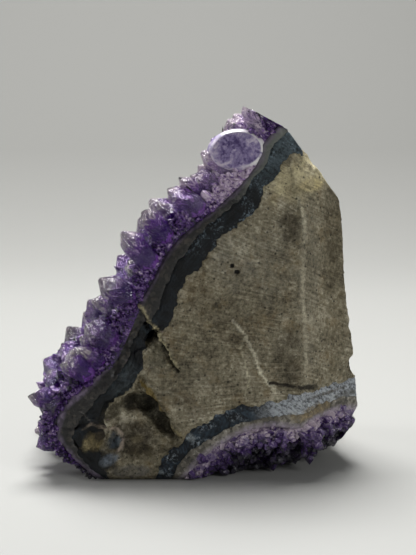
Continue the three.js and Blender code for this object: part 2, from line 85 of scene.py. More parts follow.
DISH_DEPTH = 2.2
# The slope's lower half bulges between these heights
BULGE_HEIGHT = 2.6
BULGE_RISE = (10.0, 24.0)
BULGE_FALL = (42.0, 62.0)
LAYER_WAVE = 14.0
LAYER_RIPPLE = 1.3
FRONT_AT_BASE = -31.0
BACK_AT_BASE = 33.0
FRONT_SLOPE = math.tan(math.radians(8))
BACK_SLOPE = 0.24 / 0.97


def hex_colour(code: str, alpha: float = 1.0) -> tuple[float, float, float, float]:
    """Turns an sRGB hex value into linear RGBA.

    Args:
        code: Six hex digits after a hash.
        alpha: The fourth value.

    Returns:
        Linear red, green and blue, and alpha.
    """
    parts = [int(code[i : i + 2], 16) / 255 for i in (1, 3, 5)]
    red, green, blue = (p / 12.92 if p <= 0.04045 else ((p + 0.055) / 1.055) ** 2.4 for p in parts)
    return (red, green, blue, alpha)


def add_node(
    tree: bpy.types.NodeTree,
    kind: str,
    settings: dict | None = None,
    inputs: dict | None = None,
    stops: Iterable[tuple[float, str]] = (),
) -> bpy.types.Node:
    """Adds a node with its settings and links.

    Args:
        tree: The material's node tree.
        kind: The node's type, without the leading ShaderNode.
        settings: Properties of the node.
        inputs: For each input's name or number, a value, a node (its first output in use) or an output.
        stops: Positions and colours of a colour ramp.

    Returns:
        The node.
    """
    node = tree.nodes.new("ShaderNode" + kind)
    for name, value in (settings or {}).items():
        setattr(node, name, value)
    for key, value in (inputs or {}).items():
        if isinstance(key, int):
            socket = node.inputs[key]
        else:
            socket = next(s for s in node.inputs if s.enabled and s.name == key)
        if isinstance(value, bpy.types.Node):
            value = next(s for s in value.outputs if s.enabled)
        if isinstance(value, bpy.types.NodeSocket):
            tree.links.new(value, socket)
        else:
            socket.default_value = hex_colour(value) if isinstance(value, str) else value
    stops = list(stops)
    if stops:
        ramp = node.color_ramp
        while len(ramp.elements) < len(stops):
            ramp.elements.new(1.0)
        for element, (position, colour) in zip(ramp.elements, stops):
            element.position = position
            element.color = hex_colour(colour)
    return node


def new_material(name: str) -> tuple[bpy.types.Material, bpy.types.NodeTree]:
    """Makes an empty material.

    Args:
        name: Its name.

    Returns:
        The material and its cleared node tree.
    """
    material = bpy.data.materials.new(name)
    material.use_nodes = True
    material.node_tree.nodes.clear()
    return material, material.node_tree


def place_in_mm(tree: bpy.types.NodeTree) -> bpy.types.Node:
    """Gives a surface point's place in millimetres, which is the CAD frame's.

    Args:
        tree: The material's node tree.

    Returns:
        The node whose output is the place.
    """
    where = add_node(tree, "TexCoord")
    return add_node(
        tree, "VectorMath", {"operation": "SCALE"}, {"Vector": where.outputs["Object"], "Scale": 1 / MM}
    )


def close_material(
    tree: bpy.types.NodeTree, surface: bpy.types.Node, volume: bpy.types.Node | None = None
) -> None:
    """Links the last shader to the material's output.

    Args:
        tree: The material's node tree.
        surface: The surface's shader.
        volume: The shader of the inside, if it has one.
    """
    inputs = {"Surface": surface.outputs[0]}
    if volume:
        inputs["Volume"] = volume.outputs[0]
    add_node(tree, "OutputMaterial", {}, inputs)


class SeededDraws:
    """Repeatable random numbers from 0 to 1, the same ones that place the CAD points."""

    def __init__(self, seed: int) -> None:
        """Starts the row of numbers at seed."""
        self.state = seed

    def next(self) -> float:
        """Returns the next number."""
        self.state = (1664525 * self.state + 1013904223) % 4294967296
        return self.state / 4294967296

    def several(self, count: int) -> list[float]:
        """Returns the next count numbers."""
        return [self.next() for _ in range(count)]

    def between(self, low: float, high: float) -> float:
        """Returns a number from low to high."""
        return low + (high - low) * self.next()


def smooth_step(low: float, high: float, value):
    """Returns 0 below low, 1 above high and a smooth rise between them, for a number or an array."""
    share = np.clip((value - low) / (high - low), 0, 1)
    return share * share * (3 - 2 * share)


def face_depth(z):
    """Returns the front face's Y at a height."""
    return FRONT_AT_BASE + FRONT_SLOPE * z


def back_depth(z):
    """Returns the back's Y at a height."""
    return BACK_AT_BASE - BACK_SLOPE * z


def ripple(x, y, z):
    """Returns a smooth random field from -1 to 1, the same one that bends the CAD layers."""
    return (
        np.sin(x + 1.7 * np.sin(0.61 * y + 0.4) + 0.3 * z)
        + np.sin(1.13 * y - 1.4 * np.sin(0.53 * z + 1.1) + 2.1)
        + np.sin(0.87 * z + 1.2 * np.sin(0.71 * x - 0.6) - 0.9)
    ) / 3


def layer_bend(x, y, z):
    """Returns how far a layer is dished and rippled at a place, along the slope's normal."""
    across = np.clip((y - face_depth(z)) / (back_depth(z) - face_depth(z)), 0, 1)
    bulged = smooth_step(*BULGE_RISE, z) * (1 - smooth_step(*BULGE_FALL, z))
    dish = (bulged * (DISH_DEPTH + BULGE_HEIGHT) - DISH_DEPTH) * np.sin(math.pi * across)
    waves = ripple(x / LAYER_WAVE, 2 * y / LAYER_WAVE, z / LAYER_WAVE)
    return dish + LAYER_RIPPLE * waves * smooth_step(0, 0.4, across)


def nearest_on_line(places: np.ndarray, line: Line) -> tuple[np.ndarray, np.ndarray, np.ndarray]:
    """Finds the nearest place on a line of points.

    Args:
        places: X and Z of each place, one row each.
        line: The line's corners.

    Returns:
        Each place's distance from the line, the nearest place on it, and the line's normal there.
    """
    corners = np.array(line, float)
    best = np.full(len(places), np.inf)
    spots = np.zeros((len(places), 2))
    normals = np.zeros((len(places), 2))
    for start, end in zip(corners[:-1], corners[1:]):
        along = end - start
        share = np.clip((places - start) @ along / (along @ along), 0, 1)
        foot = start + share[:, None] * along
        far = np.linalg.norm(places - foot, axis=1)
        nearer = far < best
        best[nearer] = far[nearer]
        spots[nearer] = foot[nearer]
        normals[nearer] = np.array((along[1], -along[0])) / np.linalg.norm(along)
    return best, spots, normals


@dataclass(frozen=True)
class Border:
    """The border between two layers: how far it wanders in broad waves, and how jagged it is."""

    line: Line
    wander: float
    jag: float
    reach: float
    seed: float

    def shift(self, places: np.ndarray) -> np.ndarray:
        """Returns how far each place moves with the border, the same for the layers on both sides."""
        bend = layer_bend(*places.T) if self.line in (AGATE_LINE, QUARTZ_LINE) else np.zeros(len(places))
        flat = (places - np.array(SLOPE_NORMAL) * bend[:, None])[:, (0, 2)]
        far, spots, normals = nearest_on_line(flat, self.line)
        x, y, z = spots[:, 0] + self.seed, places[:, 1], spots[:, 1] - self.seed
        waves = self.wander * (ripple(x / 2.6, y / 3, z / 2.3) + 0.6 * ripple(x / 1.3 + 2, y / 1.6, z / 1.2))
        teeth = 1 - 2 * np.abs(ripple(x / 0.75, y / 0.9, z / 0.7)) + 0.7 * ripple(x / 0.3, y / 0.5, z / 0.33)
        size = (waves + self.jag * teeth) * (1 - smooth_step(0, self.reach, far))
        size *= smooth_step(1, 4, places[:, 2]) * (1 - smooth_step(97, 106, places[:, 2]))
        size *= 1 - smooth_step(47, 52, places[:, 0])
        return np.column_stack([normals[:, 0] * size, np.zeros(len(places)), normals[:, 1] * size])


BORDERS = (
    Border(AGATE_LINE, 1.9, 0.5, 6.5, 0.0),
    Border(QUARTZ_LINE, 0.7, 0.3, 3.0, 3.1),
    Border(POCKET_AGATE_LINE, 1.3, 0.5, 4.5, 5.7),
    Border(POCKET_QUARTZ_LINE, 0.6, 0.3, 2.4, 8.2),
)


class LayerCurve:
    """A smooth curve through an outline's points, drawn as the CAD source draws it."""

    STEPS = 200

    def __init__(self, line: Line) -> None:
        """Measures the curve through line."""
        self.corners = [Vector((x, 0, z)) for x, z in line]
        spots = [self.at_corner_share(i / self.STEPS) for i in range(self.STEPS + 1)]
        self.lengths = [0.0]
        for a, b in zip(spots, spots[1:]):
            self.lengths.append(self.lengths[-1] + (b - a).length)

    @property
    def length(self) -> float:
        """Returns the curve's length."""
        return self.lengths[-1]

    def at_corner_share(self, share: float) -> Vector:
        """Returns the place at a share of the corners."""
        last = len(self.corners) - 1
        index = min(int(last * share), last - 1)
        t = last * share - index
        p1, p2 = self.corners[index], self.corners[index + 1]
        p0 = self.corners[index - 1] if index else 2 * p1 - p2
        p3 = self.corners[index + 2] if index + 2 <= last else 2 * p2 - p1
        d0, d1, d2 = (max((b - a).length, 1e-4) ** 0.5 for a, b in ((p0, p1), (p1, p2), (p2, p3)))
        m1 = ((p1 - p0) / d0 - (p2 - p0) / (d0 + d1) + (p2 - p1) / d1) * d1
        m2 = ((p2 - p1) / d1 - (p3 - p1) / (d1 + d2) + (p3 - p2) / d2) * d1
        c2 = 3 * (p2 - p1) - 2 * m1 - m2
        c3 = 2 * (p1 - p2) + m1 + m2
        return p1 + m1 * t + c2 * t * t + c3 * t * t * t

    def corner_share(self, share: float) -> float:
        """Turns a share of the length into a share of the corners."""
        wanted = min(max(share, 0), 1) * self.length
        index = min(int(np.searchsorted(self.lengths, wanted, "right")) - 1, self.STEPS - 1)
        index = max(index, 0)
        step = self.lengths[index + 1] - self.lengths[index]
        return (index + (wanted - self.lengths[index]) / max(step, 1e-9)) / self.STEPS

    def at(self, share: float) -> Vector:
        """Returns the place at a share of the length."""
        return self.at_corner_share(self.corner_share(share))

    def outward(self, share: float) -> Vector:
        """Returns the direction away from the stone at a share of the length."""
        t = self.corner_share(share)
        low, high = max(t - 1e-4, 0), min(t + 1e-4, 1)
        along = (self.at_corner_share(high) - self.at_corner_share(low)).normalized()
        return Vector((along.z, 0, -along.x))


def mesh_piece(name: str, mesh: bpy.types.Mesh, nodes: Sequence[str], slot: str, look) -> bpy.types.Object:
    """Makes a finished piece of a mesh, and hides the CAD nodes that it stands for.

    Args:
        name: The piece's name.
        mesh: Its mesh, in metres and in place.
        nodes: The CAD nodes that it stands for.
        slot: The name of its finish's material slot; not used.
        look: Its material.

    Returns:
        The piece's object.
    """
    piece = bpy.data.objects.new(name, mesh)
    bpy.context.scene.collection.objects.link(piece)
    mesh.materials.clear()
    mesh.materials.append(look)
    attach(piece, "root")
    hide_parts(*nodes)
    LOG.info("%s: %d faces", name, len(mesh.polygons))
    return piece


def evaluated_mesh(body: bpy.types.Object) -> bpy.types.Mesh:
    """Applies a body's modifiers and removes the body.

    Args:
        body: The object, linked to the scene.

    Returns:
        Its mesh after the modifiers.
    """
    graph = bpy.context.evaluated_depsgraph_get()
    mesh = bpy.data.meshes.new_from_object(body.evaluated_get(graph))
    bpy.data.objects.remove(body)
    return mesh


def scene_body(name: str, bm: bmesh.types.BMesh) -> bpy.types.Object:
    """Turns a bmesh in millimetres into a scene object in metres.

    Args:
        name: The object's name.
        bm: The bmesh, which is freed.

    Returns:
        The object.
    """
    bmesh.ops.scale(bm, vec=(MM, MM, MM), verts=bm.verts)
    mesh = bpy.data.meshes.new(name)
    bm.to_mesh(mesh)
    bm.free()
    body = bpy.data.objects.new(name, mesh)
    bpy.context.scene.collection.objects.link(body)
    return body


def vertex_places(mesh: bpy.types.Mesh) -> np.ndarray:
    """Returns the places of a mesh's vertices in millimetres, one row each."""
    flat = np.empty(len(mesh.vertices) * 3, np.float32)
    mesh.vertices.foreach_get("co", flat)
    return flat.reshape(-1, 3).astype(float) / MM


def vertex_normals(mesh: bpy.types.Mesh) -> np.ndarray:
    """Returns the normals of a mesh's vertices, one row each."""
    flat = np.empty(len(mesh.vertices) * 3, np.float32)
    mesh.vertices.foreach_get("normal", flat)
    return flat.reshape(-1, 3).astype(float)


def store(mesh: bpy.types.Mesh, name: str, values: np.ndarray) -> None:
    """Keeps a number or a vector for each vertex as an attribute that the materials read.

    Args:
        mesh: The mesh.
        name: The attribute's name.
        values: One number, or one row of three or four numbers, for each vertex.
    """
    kinds = {1: ("FLOAT", "value"), 3: ("FLOAT_VECTOR", "vector"), 4: ("FLOAT_COLOR", "color")}
    width = 1 if values.ndim == 1 else values.shape[1]
    kind, key = kinds[width]
    attribute = mesh.attributes.new(name, kind, "POINT")
    attribute.data.foreach_set(key, np.ascontiguousarray(values, np.float32).ravel())


@dataclass(frozen=True)
class GroundFace:
    """A face that was sawn and ground: a point on it and the direction it looks in."""

    point: tuple[float, float, float]
    normal: tuple[float, float, float]

    def share(self, places: np.ndarray, reach: float = 0.55) -> np.ndarray:
        """Returns 1 on the face and 0 further than reach under it, for each place."""
        normal = np.array(self.normal) / np.linalg.norm(self.normal)
        return 1 - smooth_step(0.4 * reach, reach, np.abs((places - np.array(self.point)) @ normal))

    @property
    def plane(self) -> tuple[Vector, Vector]:
        """Returns the point and the unit normal as vectors."""
        return Vector(self.point), Vector(self.normal).normalized()


FRONT = GroundFace((0, FRONT_AT_BASE, 0), (0, -1, FRONT_SLOPE))
RIGHT = GroundFace((33.2, FRONT_AT_BASE, 0), (0.704, -0.704, 0.099))
BEVEL = GroundFace((28.8, -16.8, 101.4), (0.676, -0.678, 0.289))
TOP = GroundFace((14, -8, 113.9), (0.46, 0.2, 0.88))
SHOULDER = GroundFace((34, -11.9, 100.7), (0.75, 0.22, 0.625))
BASE = GroundFace((0, 0, 0), (0, 0, -1))
UNDERCUT = GroundFace((17, -29, 0), (0.4, -0.25, -0.88))
RIM = GroundFace((48.5, -14, 11.5), (0.82, 0.05, -0.57))
GROUND_FACES = (FRONT, RIGHT, BEVEL, TOP, SHOULDER, BASE, UNDERCUT, RIM)


@dataclass(frozen=True)
class Patch:
    """A soft, uneven patch of the front, placed by X and Z: its half axes and how far it is turned."""

    centre: tuple[float, float]
    reach: tuple[float, float]
    turn: float

    def share(self, places: np.ndarray) -> np.ndarray:
        """Returns how far each place belongs to the patch, from 0 to 1."""
        flat = places[:, (0, 2)] - np.array(self.centre)
        angle = math.radians(self.turn)
        turned = flat @ np.array([[math.cos(angle), -math.sin(angle)], [math.sin(angle), math.cos(angle)]])
        far = np.linalg.norm(turned / np.array(self.reach), axis=1)
        far = far * (1 + 0.22 * ripple(*(places.T / 1.6)) + 0.16 * ripple(*(places.T / 0.7)))
        return 1 - smooth_step(0.45, 1.05, far)


@dataclass(frozen=True)
class ColourPatch(Patch):
    """A patch of another colour."""

    colour: str
    strength: float


@dataclass(frozen=True)
class Dent(Patch):
    """A patch that is sunk, or raised where its depth is below 0."""

    depth: float


@dataclass(frozen=True)
class Seam:
    """A vein, crack or step in the stone, some with painted highlight or painted shadow in their colour: its line on
    the front face, width, colour and height.
    """

    line: Line
    width: float
    colour: str
    height: float = 0.0
    strength: float = 1.0

    def share(self, places: np.ndarray) -> np.ndarray:
        """Returns how far each place belongs to the seam, from 0 to 1."""
        wobble = 0.2 * np.sin(places[:, 0] * 1.9) + 0.2 * np.sin(places[:, 2] * 2.3 + 1)
        far, _, _ = nearest_on_line(places[:, (0, 2)] + wobble[:, None] * 0.5, self.line)
        near_front = 1 - smooth_step(7, 10, places[:, 1] - face_depth(places[:, 2]))
        return (1 - smooth_step(0.4 * self.width, self.width, far)) * near_front


class Neighbours:
    """The other CAD solids, which tell where a layer is seated against its neighbours."""

    def __init__(self, node: str) -> None:
        """Takes in every CAD node but node."""
        bm = bmesh.new()
        for name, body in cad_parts.items():
            if name != node:
                bm.from_mesh(body.data)
        self.shell = BVHTree.FromBMesh(bm)
        bm.free()

    def seated(self, places: np.ndarray, reach: float = 1.2) -> np.ndarray:
        """Returns 1 where a neighbour is as near as its gap, and 0 where it is further than reach."""
        far = np.full(len(places), reach)
        for i, place in enumerate(places):
            found = self.shell.find_nearest(Vector(place) * MM, reach * MM)[3]
            if found is not None:
                far[i] = found / MM
        return 1 - smooth_step(0.45, reach, far)


def fractured(spot: Vector) -> float:
    """Returns the height of a surface broken into tilted facets, about 1 across."""
    _, seeds = noise.voronoi(spot)
    slope = noise.noise_vector(seeds[0] * 7.31)
    return slope.dot(spot - seeds[0])


@dataclass
class StoneLayer:
    """One layer of the sawn stone, refined from its CAD solid so that it meets its neighbours."""

    node: str
    name: str
    slot: str
    growth: float
    grain: float
    finish: Callable[[], bpy.types.Material]
    lump: float = 0.55
    facet: float = 1.2
    seat: float = 0.3
    stains_and_shading: Sequence[ColourPatch] = ()
    dents: Sequence[Dent] = ()
    seams: Sequence[Seam] = ()
    broken: Sequence[Patch] = ()
    pits: Sequence[tuple[float, float, float]] = ()

    def refined(self) -> bpy.types.Mesh:
        """Remeshes the CAD solid's copy to an even grain.

        Returns:
            The refined mesh in metres.
        """
        bm = bmesh.new()
        bm.from_mesh(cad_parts[self.node].data)
        bmesh.ops.remove_doubles(bm, verts=bm.verts, dist=1e-6)
        bmesh.ops.scale(bm, vec=(1 / MM, 1 / MM, 1 / MM), verts=bm.verts)
        body = scene_body(self.name, bm)
        even = body.modifiers.new("even grain", "REMESH")
        even.mode = "VOXEL"
        even.voxel_size = self.grain * MM
        even.use_smooth_shade = True
        return evaluated_mesh(body)

    def roughness(self, places: np.ndarray, ground: np.ndarray, seated: np.ndarray) -> np.ndarray:
        """Measures the relief of the broken surfaces and of the ground ones.

        Args:
            places: The vertices' places.
            ground: 1 where a vertex lies on a ground face.
            seated: 1 where a vertex lies on a neighbouring layer.

        Returns:
            The relief's height at each vertex.
        """
        height = np.zeros(len(places))
        for i, place in enumerate(places):
            spot = Vector(place)
            if seated[i] > 0.98 and ground[i] < 0.02:
                continue
            fine = noise.ridged_multi_fractal(spot / 3.1, 0.7, 2.2, 3, 0.9, 1.6) - 1.0
            if ground[i] < 0.98:
                lumps = self.lump * (noise.fractal(spot / 6.5, 0.8, 2.1, 3) + 0.35 * fine)
                facets = self.facet * (fractured(spot / 4.4) + 0.45 * fractured(spot / 1.9))
                height[i] = (1 - ground[i]) * (1 - seated[i]) * (lumps + facets)
            height[i] += ground[i] * 0.04 * fine
        return height

    def weather(self, mesh: bpy.types.Mesh) -> None:
        """Gives the remeshed solid its lumps, seams and pits, and stores what the material reads.

        Args:
            mesh: The refined mesh, which is changed.
        """
        places = vertex_places(mesh)
        normals = vertex_normals(mesh)
        shifted = places + sum(border.shift(places) for border in BORDERS)
        ground = np.max([face.share(places) for face in GROUND_FACES], axis=0)
        front = FRONT.share(places)
        for patch in self.broken:
            ground = ground * (1 - front * patch.share(places))
        seated = Neighbours(self.node).seated(places)
        height = self.growth + self.roughness(places, ground, seated)
        # The right side runs back at 45 degrees, and counts as the front's
        behind = places[:, 1] - face_depth(places[:, 2]) - 0.95 * np.maximum(places[:, 0] - 33, 0)
        near_front = 1 - smooth_step(8, 11, behind)
        # The colour painted here holds real stains and veins, and also painted light, painted shade and painted shadow
        # lines
        colour = np.zeros((len(places), 4))
        for stain_and_shading in self.stains_and_shading:
            self.lay_over(colour, stain_and_shading.colour, stain_and_shading.strength * stain_and_shading.share(shifted) * near_front)
        for seam in self.seams:
            share = seam.share(shifted)
            height += seam.height * share
            self.lay_over(colour, seam.colour, seam.strength * share)
        for dent in self.dents:
            height -= dent.depth * dent.share(shifted) * near_front
        deep = np.zeros(len(places))
        for x, z, radius in self.pits:
            far = np.hypot(shifted[:, 0] - x, shifted[:, 2] - z)
            deep = np.maximum(deep, (1 - smooth_step(0.6 * radius, 1.3 * radius, far)) * front)
        height -= 0.9 * deep
        # Towards its neighbours a layer grows further, but not out of the ground faces
        sideways = normals.copy()
        for face in GROUND_FACES:
            normal = np.array(face.plane[1])
            sideways -= (face.share(places) * (sideways @ normal))[:, None] * normal
        moved = shifted + normals * height[:, None] + sideways * (self.seat * seated)[:, None]
        # The lowest edge of the front is worn round, so that it stands clear of the ground
        worn = np.clip(1 - moved[:, 2] / EDGE_WEAR, 0, 1) ** 2
        moved[:, 1] += EDGE_WEAR * worn * (1 - smooth_step(0, 8, places[:, 1] - face_depth(places[:, 2])))
        moved[:, 2] = np.maximum(moved[:, 2], 0.0)
        mesh.vertices.foreach_set("co", np.ascontiguousarray(moved * MM, np.float32).ravel())
        mesh.update()
        store(mesh, "ground", ground)
        store(mesh, "stain_and_shading", colour)
        store(mesh, "pit", deep)
        store(mesh, "saw_marks", self.saw_lines(shifted))
        store(mesh, "layer", self.layer_shares(places))

    @staticmethod
    def lay_over(colour: np.ndarray, code: str, share: np.ndarray) -> None:
        """Lays a colour over those already there, by its share at each vertex."""
        paint = np.array(hex_colour(code))[:3]
        share = np.clip(share, 0, 1)
        total = share + colour[:, 3] * (1 - share)
        keep = np.where(total > 1e-6, share / np.maximum(total, 1e-6), 0)[:, None]
        colour[:, :3] = paint * keep + colour[:, :3] * (1 - keep)
        colour[:, 3] = total

    @staticmethod
    def saw_lines(places: np.ndarray) -> np.ndarray:
        """Returns across and along the saw's marks in millimetres: they swing on the front face."""
        x, y, z = places.T
        on_front = z + x * (0.0114 * z - 0.366)
        on_right = z + 0.58 * (x - 33)
        right = np.maximum(RIGHT.share(places), BEVEL.share(places))
        across = on_front * (1 - right) + on_right * right
        return np.column_stack([across, x - 0.3 * z + y, np.zeros(len(x))])

    @staticmethod
    def layer_shares(places: np.ndarray) -> np.ndarray:
        """Returns distances from the agate's, the quartz's and the crystals' lines, the pocket's counted in."""
        bend = layer_bend(*places.T)
        flat = (places - np.array(SLOPE_NORMAL) * bend[:, None])[:, (0, 2)]
        crystals = np.minimum(
            nearest_on_line(flat, CRYSTAL_ROOT_LINE)[0], nearest_on_line(places[:, (0, 2)], POCKET_CRYSTAL_LINE)[0]
        )
        return np.column_stack([nearest_on_line(flat, AGATE_LINE)[0], nearest_on_line(flat, QUARTZ_LINE)[0], crystals])

    def build(self) -> bpy.types.Object:
        """Returns the finished layer."""
        mesh = self.refined()
        self.weather(mesh)
        return mesh_piece(self.name, mesh, [self.node], self.slot, self.finish())


def attribute(tree: bpy.types.NodeTree, name: str) -> bpy.types.Node:
    """Returns a node that reads a stored attribute."""
    return add_node(tree, "Attribute", {"attribute_name": name})


@dataclass(frozen=True)
class SawnBasalt:
    """Weathered vesicular basalt, cut with a diamond saw: dull, with close saw marks, pores and rust stains."""

    colours: tuple[str, ...] = ("#3b372c", "#6b6451", "#8b846f", "#bab49f")
    rust: str = "#7a6540"

    def material(self) -> bpy.types.Material:
        """Returns the material."""
        look, tree = new_material("sawn basalt")
        place = place_in_mm(tree)
        ground = attribute(tree, "ground").outputs["Fac"]
        marks = attribute(tree, "saw_marks").outputs["Vector"]
        stain_and_shading = attribute(tree, "stain_and_shading")
        pit = attribute(tree, "pit").outputs["Fac"]
        clouds = add_node(
            tree, "TexNoise", {}, {"Vector": place, "Scale": 1 / 14, "Detail": 6, "Roughness": 0.62, "Distortion": 0.4}
        )
        grain = add_node(tree, "TexNoise", {}, {"Vector": place, "Scale": 1 / 1.1, "Detail": 3, "Roughness": 0.7})
        # Saw marks 0.8 mm apart, wavering, and worn away in patches
        wander = add_node(tree, "TexNoise", {}, {"Vector": place, "Scale": 1 / 9, "Detail": 2})
        bent = add_node(
            tree, "VectorMath", {"operation": "MULTIPLY_ADD"},
            {0: wander.outputs["Color"], 1: (1.1, 0, 0), 2: marks},
        )
        drawn = add_node(
            tree, "VectorMath", {"operation": "MULTIPLY"}, {0: bent.outputs[0], 1: (1 / 0.8, 1 / 16, 1)}
        )
        saw = add_node(tree, "TexNoise", {"noise_dimensions": "2D"}, {"Vector": drawn, "Scale": 1.0, "Detail": 2, "Roughness": 0.6})
        mark = add_node(tree, "MapRange", {}, {"Value": saw.outputs["Fac"], "From Min": 0.32, "From Max": 0.68})
        worn = add_node(tree, "TexNoise", {}, {"Vector": place, "Scale": 1 / 11, "Detail": 3})
        kept = add_node(tree, "MapRange", {}, {"Value": worn.outputs["Fac"], "From Min": 0.38, "From Max": 0.6, "To Min": 0.25})
        strength = add_node(tree, "Math", {"operation": "MULTIPLY"}, {0: kept, 1: ground})
        mottle = add_node(tree, "TexNoise", {}, {"Vector": place, "Scale": 1 / 3.2, "Detail": 6, "Roughness": 0.78, "Distortion": 0.5})
        broad = add_node(tree, "Math", {"operation": "MULTIPLY_ADD"}, {0: mottle.outputs["Fac"], 1: 0.75, 2: clouds.outputs["Fac"]})
        tone = add_node(tree, "Math", {"operation": "MULTIPLY_ADD"}, {0: grain.outputs["Fac"], 1: 1.0, 2: broad})
        scratch = add_node(tree, "Math", {"operation": "MULTIPLY_ADD", "use_clamp": False}, {0: mark, 1: 1.0, 2: -0.5})
        scratched = add_node(tree, "Math", {"operation": "MULTIPLY"}, {0: scratch, 1: strength})
        # Where it is broken and not sawn, its dark and pale minerals stand out more
        crude = add_node(tree, "MapRange", {}, {"Value": ground, "From Min": 1, "From Max": 0, "To Max": 0.9})
        centred = add_node(tree, "Math", {"operation": "SUBTRACT"}, {0: mottle.outputs["Fac"], 1: 0.52})
        coarse = add_node(tree, "Math", {"operation": "MULTIPLY_ADD"}, {0: centred, 1: crude, 2: tone})
        total = add_node(tree, "Math", {"operation": "MULTIPLY_ADD"}, {0: scratched, 1: 0.22, 2: coarse})
        low = add_node(tree, "MapRange", {}, {"Value": total, "From Min": 1.0, "From Max": 1.72})
        c = self.colours
        body = add_node(tree, "ValToRGB", {}, {"Fac": low}, [(0.0, c[0]), (0.38, c[1]), (0.66, c[2]), (1.0, c[3])])
        rust_field = add_node(tree, "TexNoise", {}, {"Vector": place, "Scale": 1 / 7, "Detail": 5, "Roughness": 0.7})
        rusty = add_node(tree, "MapRange", {}, {"Value": rust_field.outputs["Fac"], "From Min": 0.52, "From Max": 0.72, "To Max": 0.55})
        rusted = add_node(tree, "Mix", {"data_type": "RGBA"}, {"Factor": rusty, "A": body, "B": self.rust})
        share = uneven_share(tree, stain_and_shading, place)
        stained_and_shaded_tone = add_node(
            tree, "Mix", {"data_type": "RGBA", "blend_type": "MULTIPLY"},
            {"Factor": 0.75, "A": stain_and_shading.outputs["Color"], "B": add_node(tree, "ValToRGB", {}, {"Fac": low}, [(0.1, "#3c3c3c"), (0.9, "#ffffff")])},
        )
        stained_and_shaded = add_node(tree, "Mix", {"data_type": "RGBA"}, {"Factor": share, "A": rusted, "B": stained_and_shaded_tone})
        # Pores and pits are holes, painted near-black as the shade inside them; the small specks are darkened the same
        # way
        pores = add_node(tree, "TexVoronoi", {}, {"Vector": place, "Scale": 1 / 2.6, "Randomness": 1})
        pore = add_node(tree, "MapRange", {}, {"Value": pores.outputs["Distance"], "From Min": 0.1, "From Max": 0.17, "To Min": 0.75, "To Max": 0})
        specks = add_node(tree, "TexVoronoi", {}, {"Vector": place, "Scale": 1 / 1.15, "Randomness": 1})
        speck = add_node(tree, "MapRange", {}, {"Value": specks.outputs["Distance"], "From Min": 0.1, "From Max": 0.26, "To Min": 0.55, "To Max": 0})
        pit = add_node(tree, "MapRange", {}, {"Value": pit, "From Min": 0.35, "From Max": 0.75})
        small = add_node(tree, "Math", {"operation": "MAXIMUM"}, {0: pore, 1: speck})
        holes = add_node(tree, "Math", {"operation": "MAXIMUM"}, {0: small, 1: pit})
        dark = add_node(tree, "Mix", {"data_type": "RGBA"}, {"Factor": holes, "A": stained_and_shaded, "B": "#0f0d09"})
        relief = add_node(tree, "Math", {"operation": "MULTIPLY_ADD"}, {0: scratched, 1: 0.5, 2: grain.outputs["Fac"]})
        sunk = add_node(tree, "Math", {"operation": "SUBTRACT"}, {0: relief, 1: holes})
        bump = add_node(tree, "Bump", {}, {"Height": sunk, "Strength": 0.6, "Distance": 0.35 * MM})
        sheen = add_node(tree, "MapRange", {}, {"Value": low, "To Min": 0.86, "To Max": 0.68})
        shader = add_node(
            tree, "BsdfPrincipled", {},
            {"Base Color": dark, "Roughness": sheen, "Normal": bump, "Specular IOR Level": 0.35},
        )
        close_material(tree, shader)
        return look


def faceted_height(tree: bpy.types.NodeTree, place: bpy.types.Node, size: float) -> tuple[bpy.types.Node, bpy.types.Node]:
    """Gives the height of grains that are each tilted their own way, and each grain's random colour.

    Args:
        tree: The material's node tree.
        place: The place in millimetres.
        size: The grains' size in millimetres.

    Returns:
        The node with the height in grain sizes, and the node of the grains.
    """
    grains = add_node(tree, "TexVoronoi", {}, {"Vector": place, "Scale": 1 / size})
    offset = add_node(
        tree, "VectorMath", {"operation": "SUBTRACT"}, {0: place, 1: grains.outputs["Position"]}
    )
    slope = add_node(
        tree, "VectorMath", {"operation": "SUBTRACT"}, {0: grains.outputs["Color"], 1: (0.5, 0.5, 0.5)}
    )
    height = add_node(tree, "VectorMath", {"operation": "DOT_PRODUCT"}, {0: offset, 1: slope})
    return height, grains


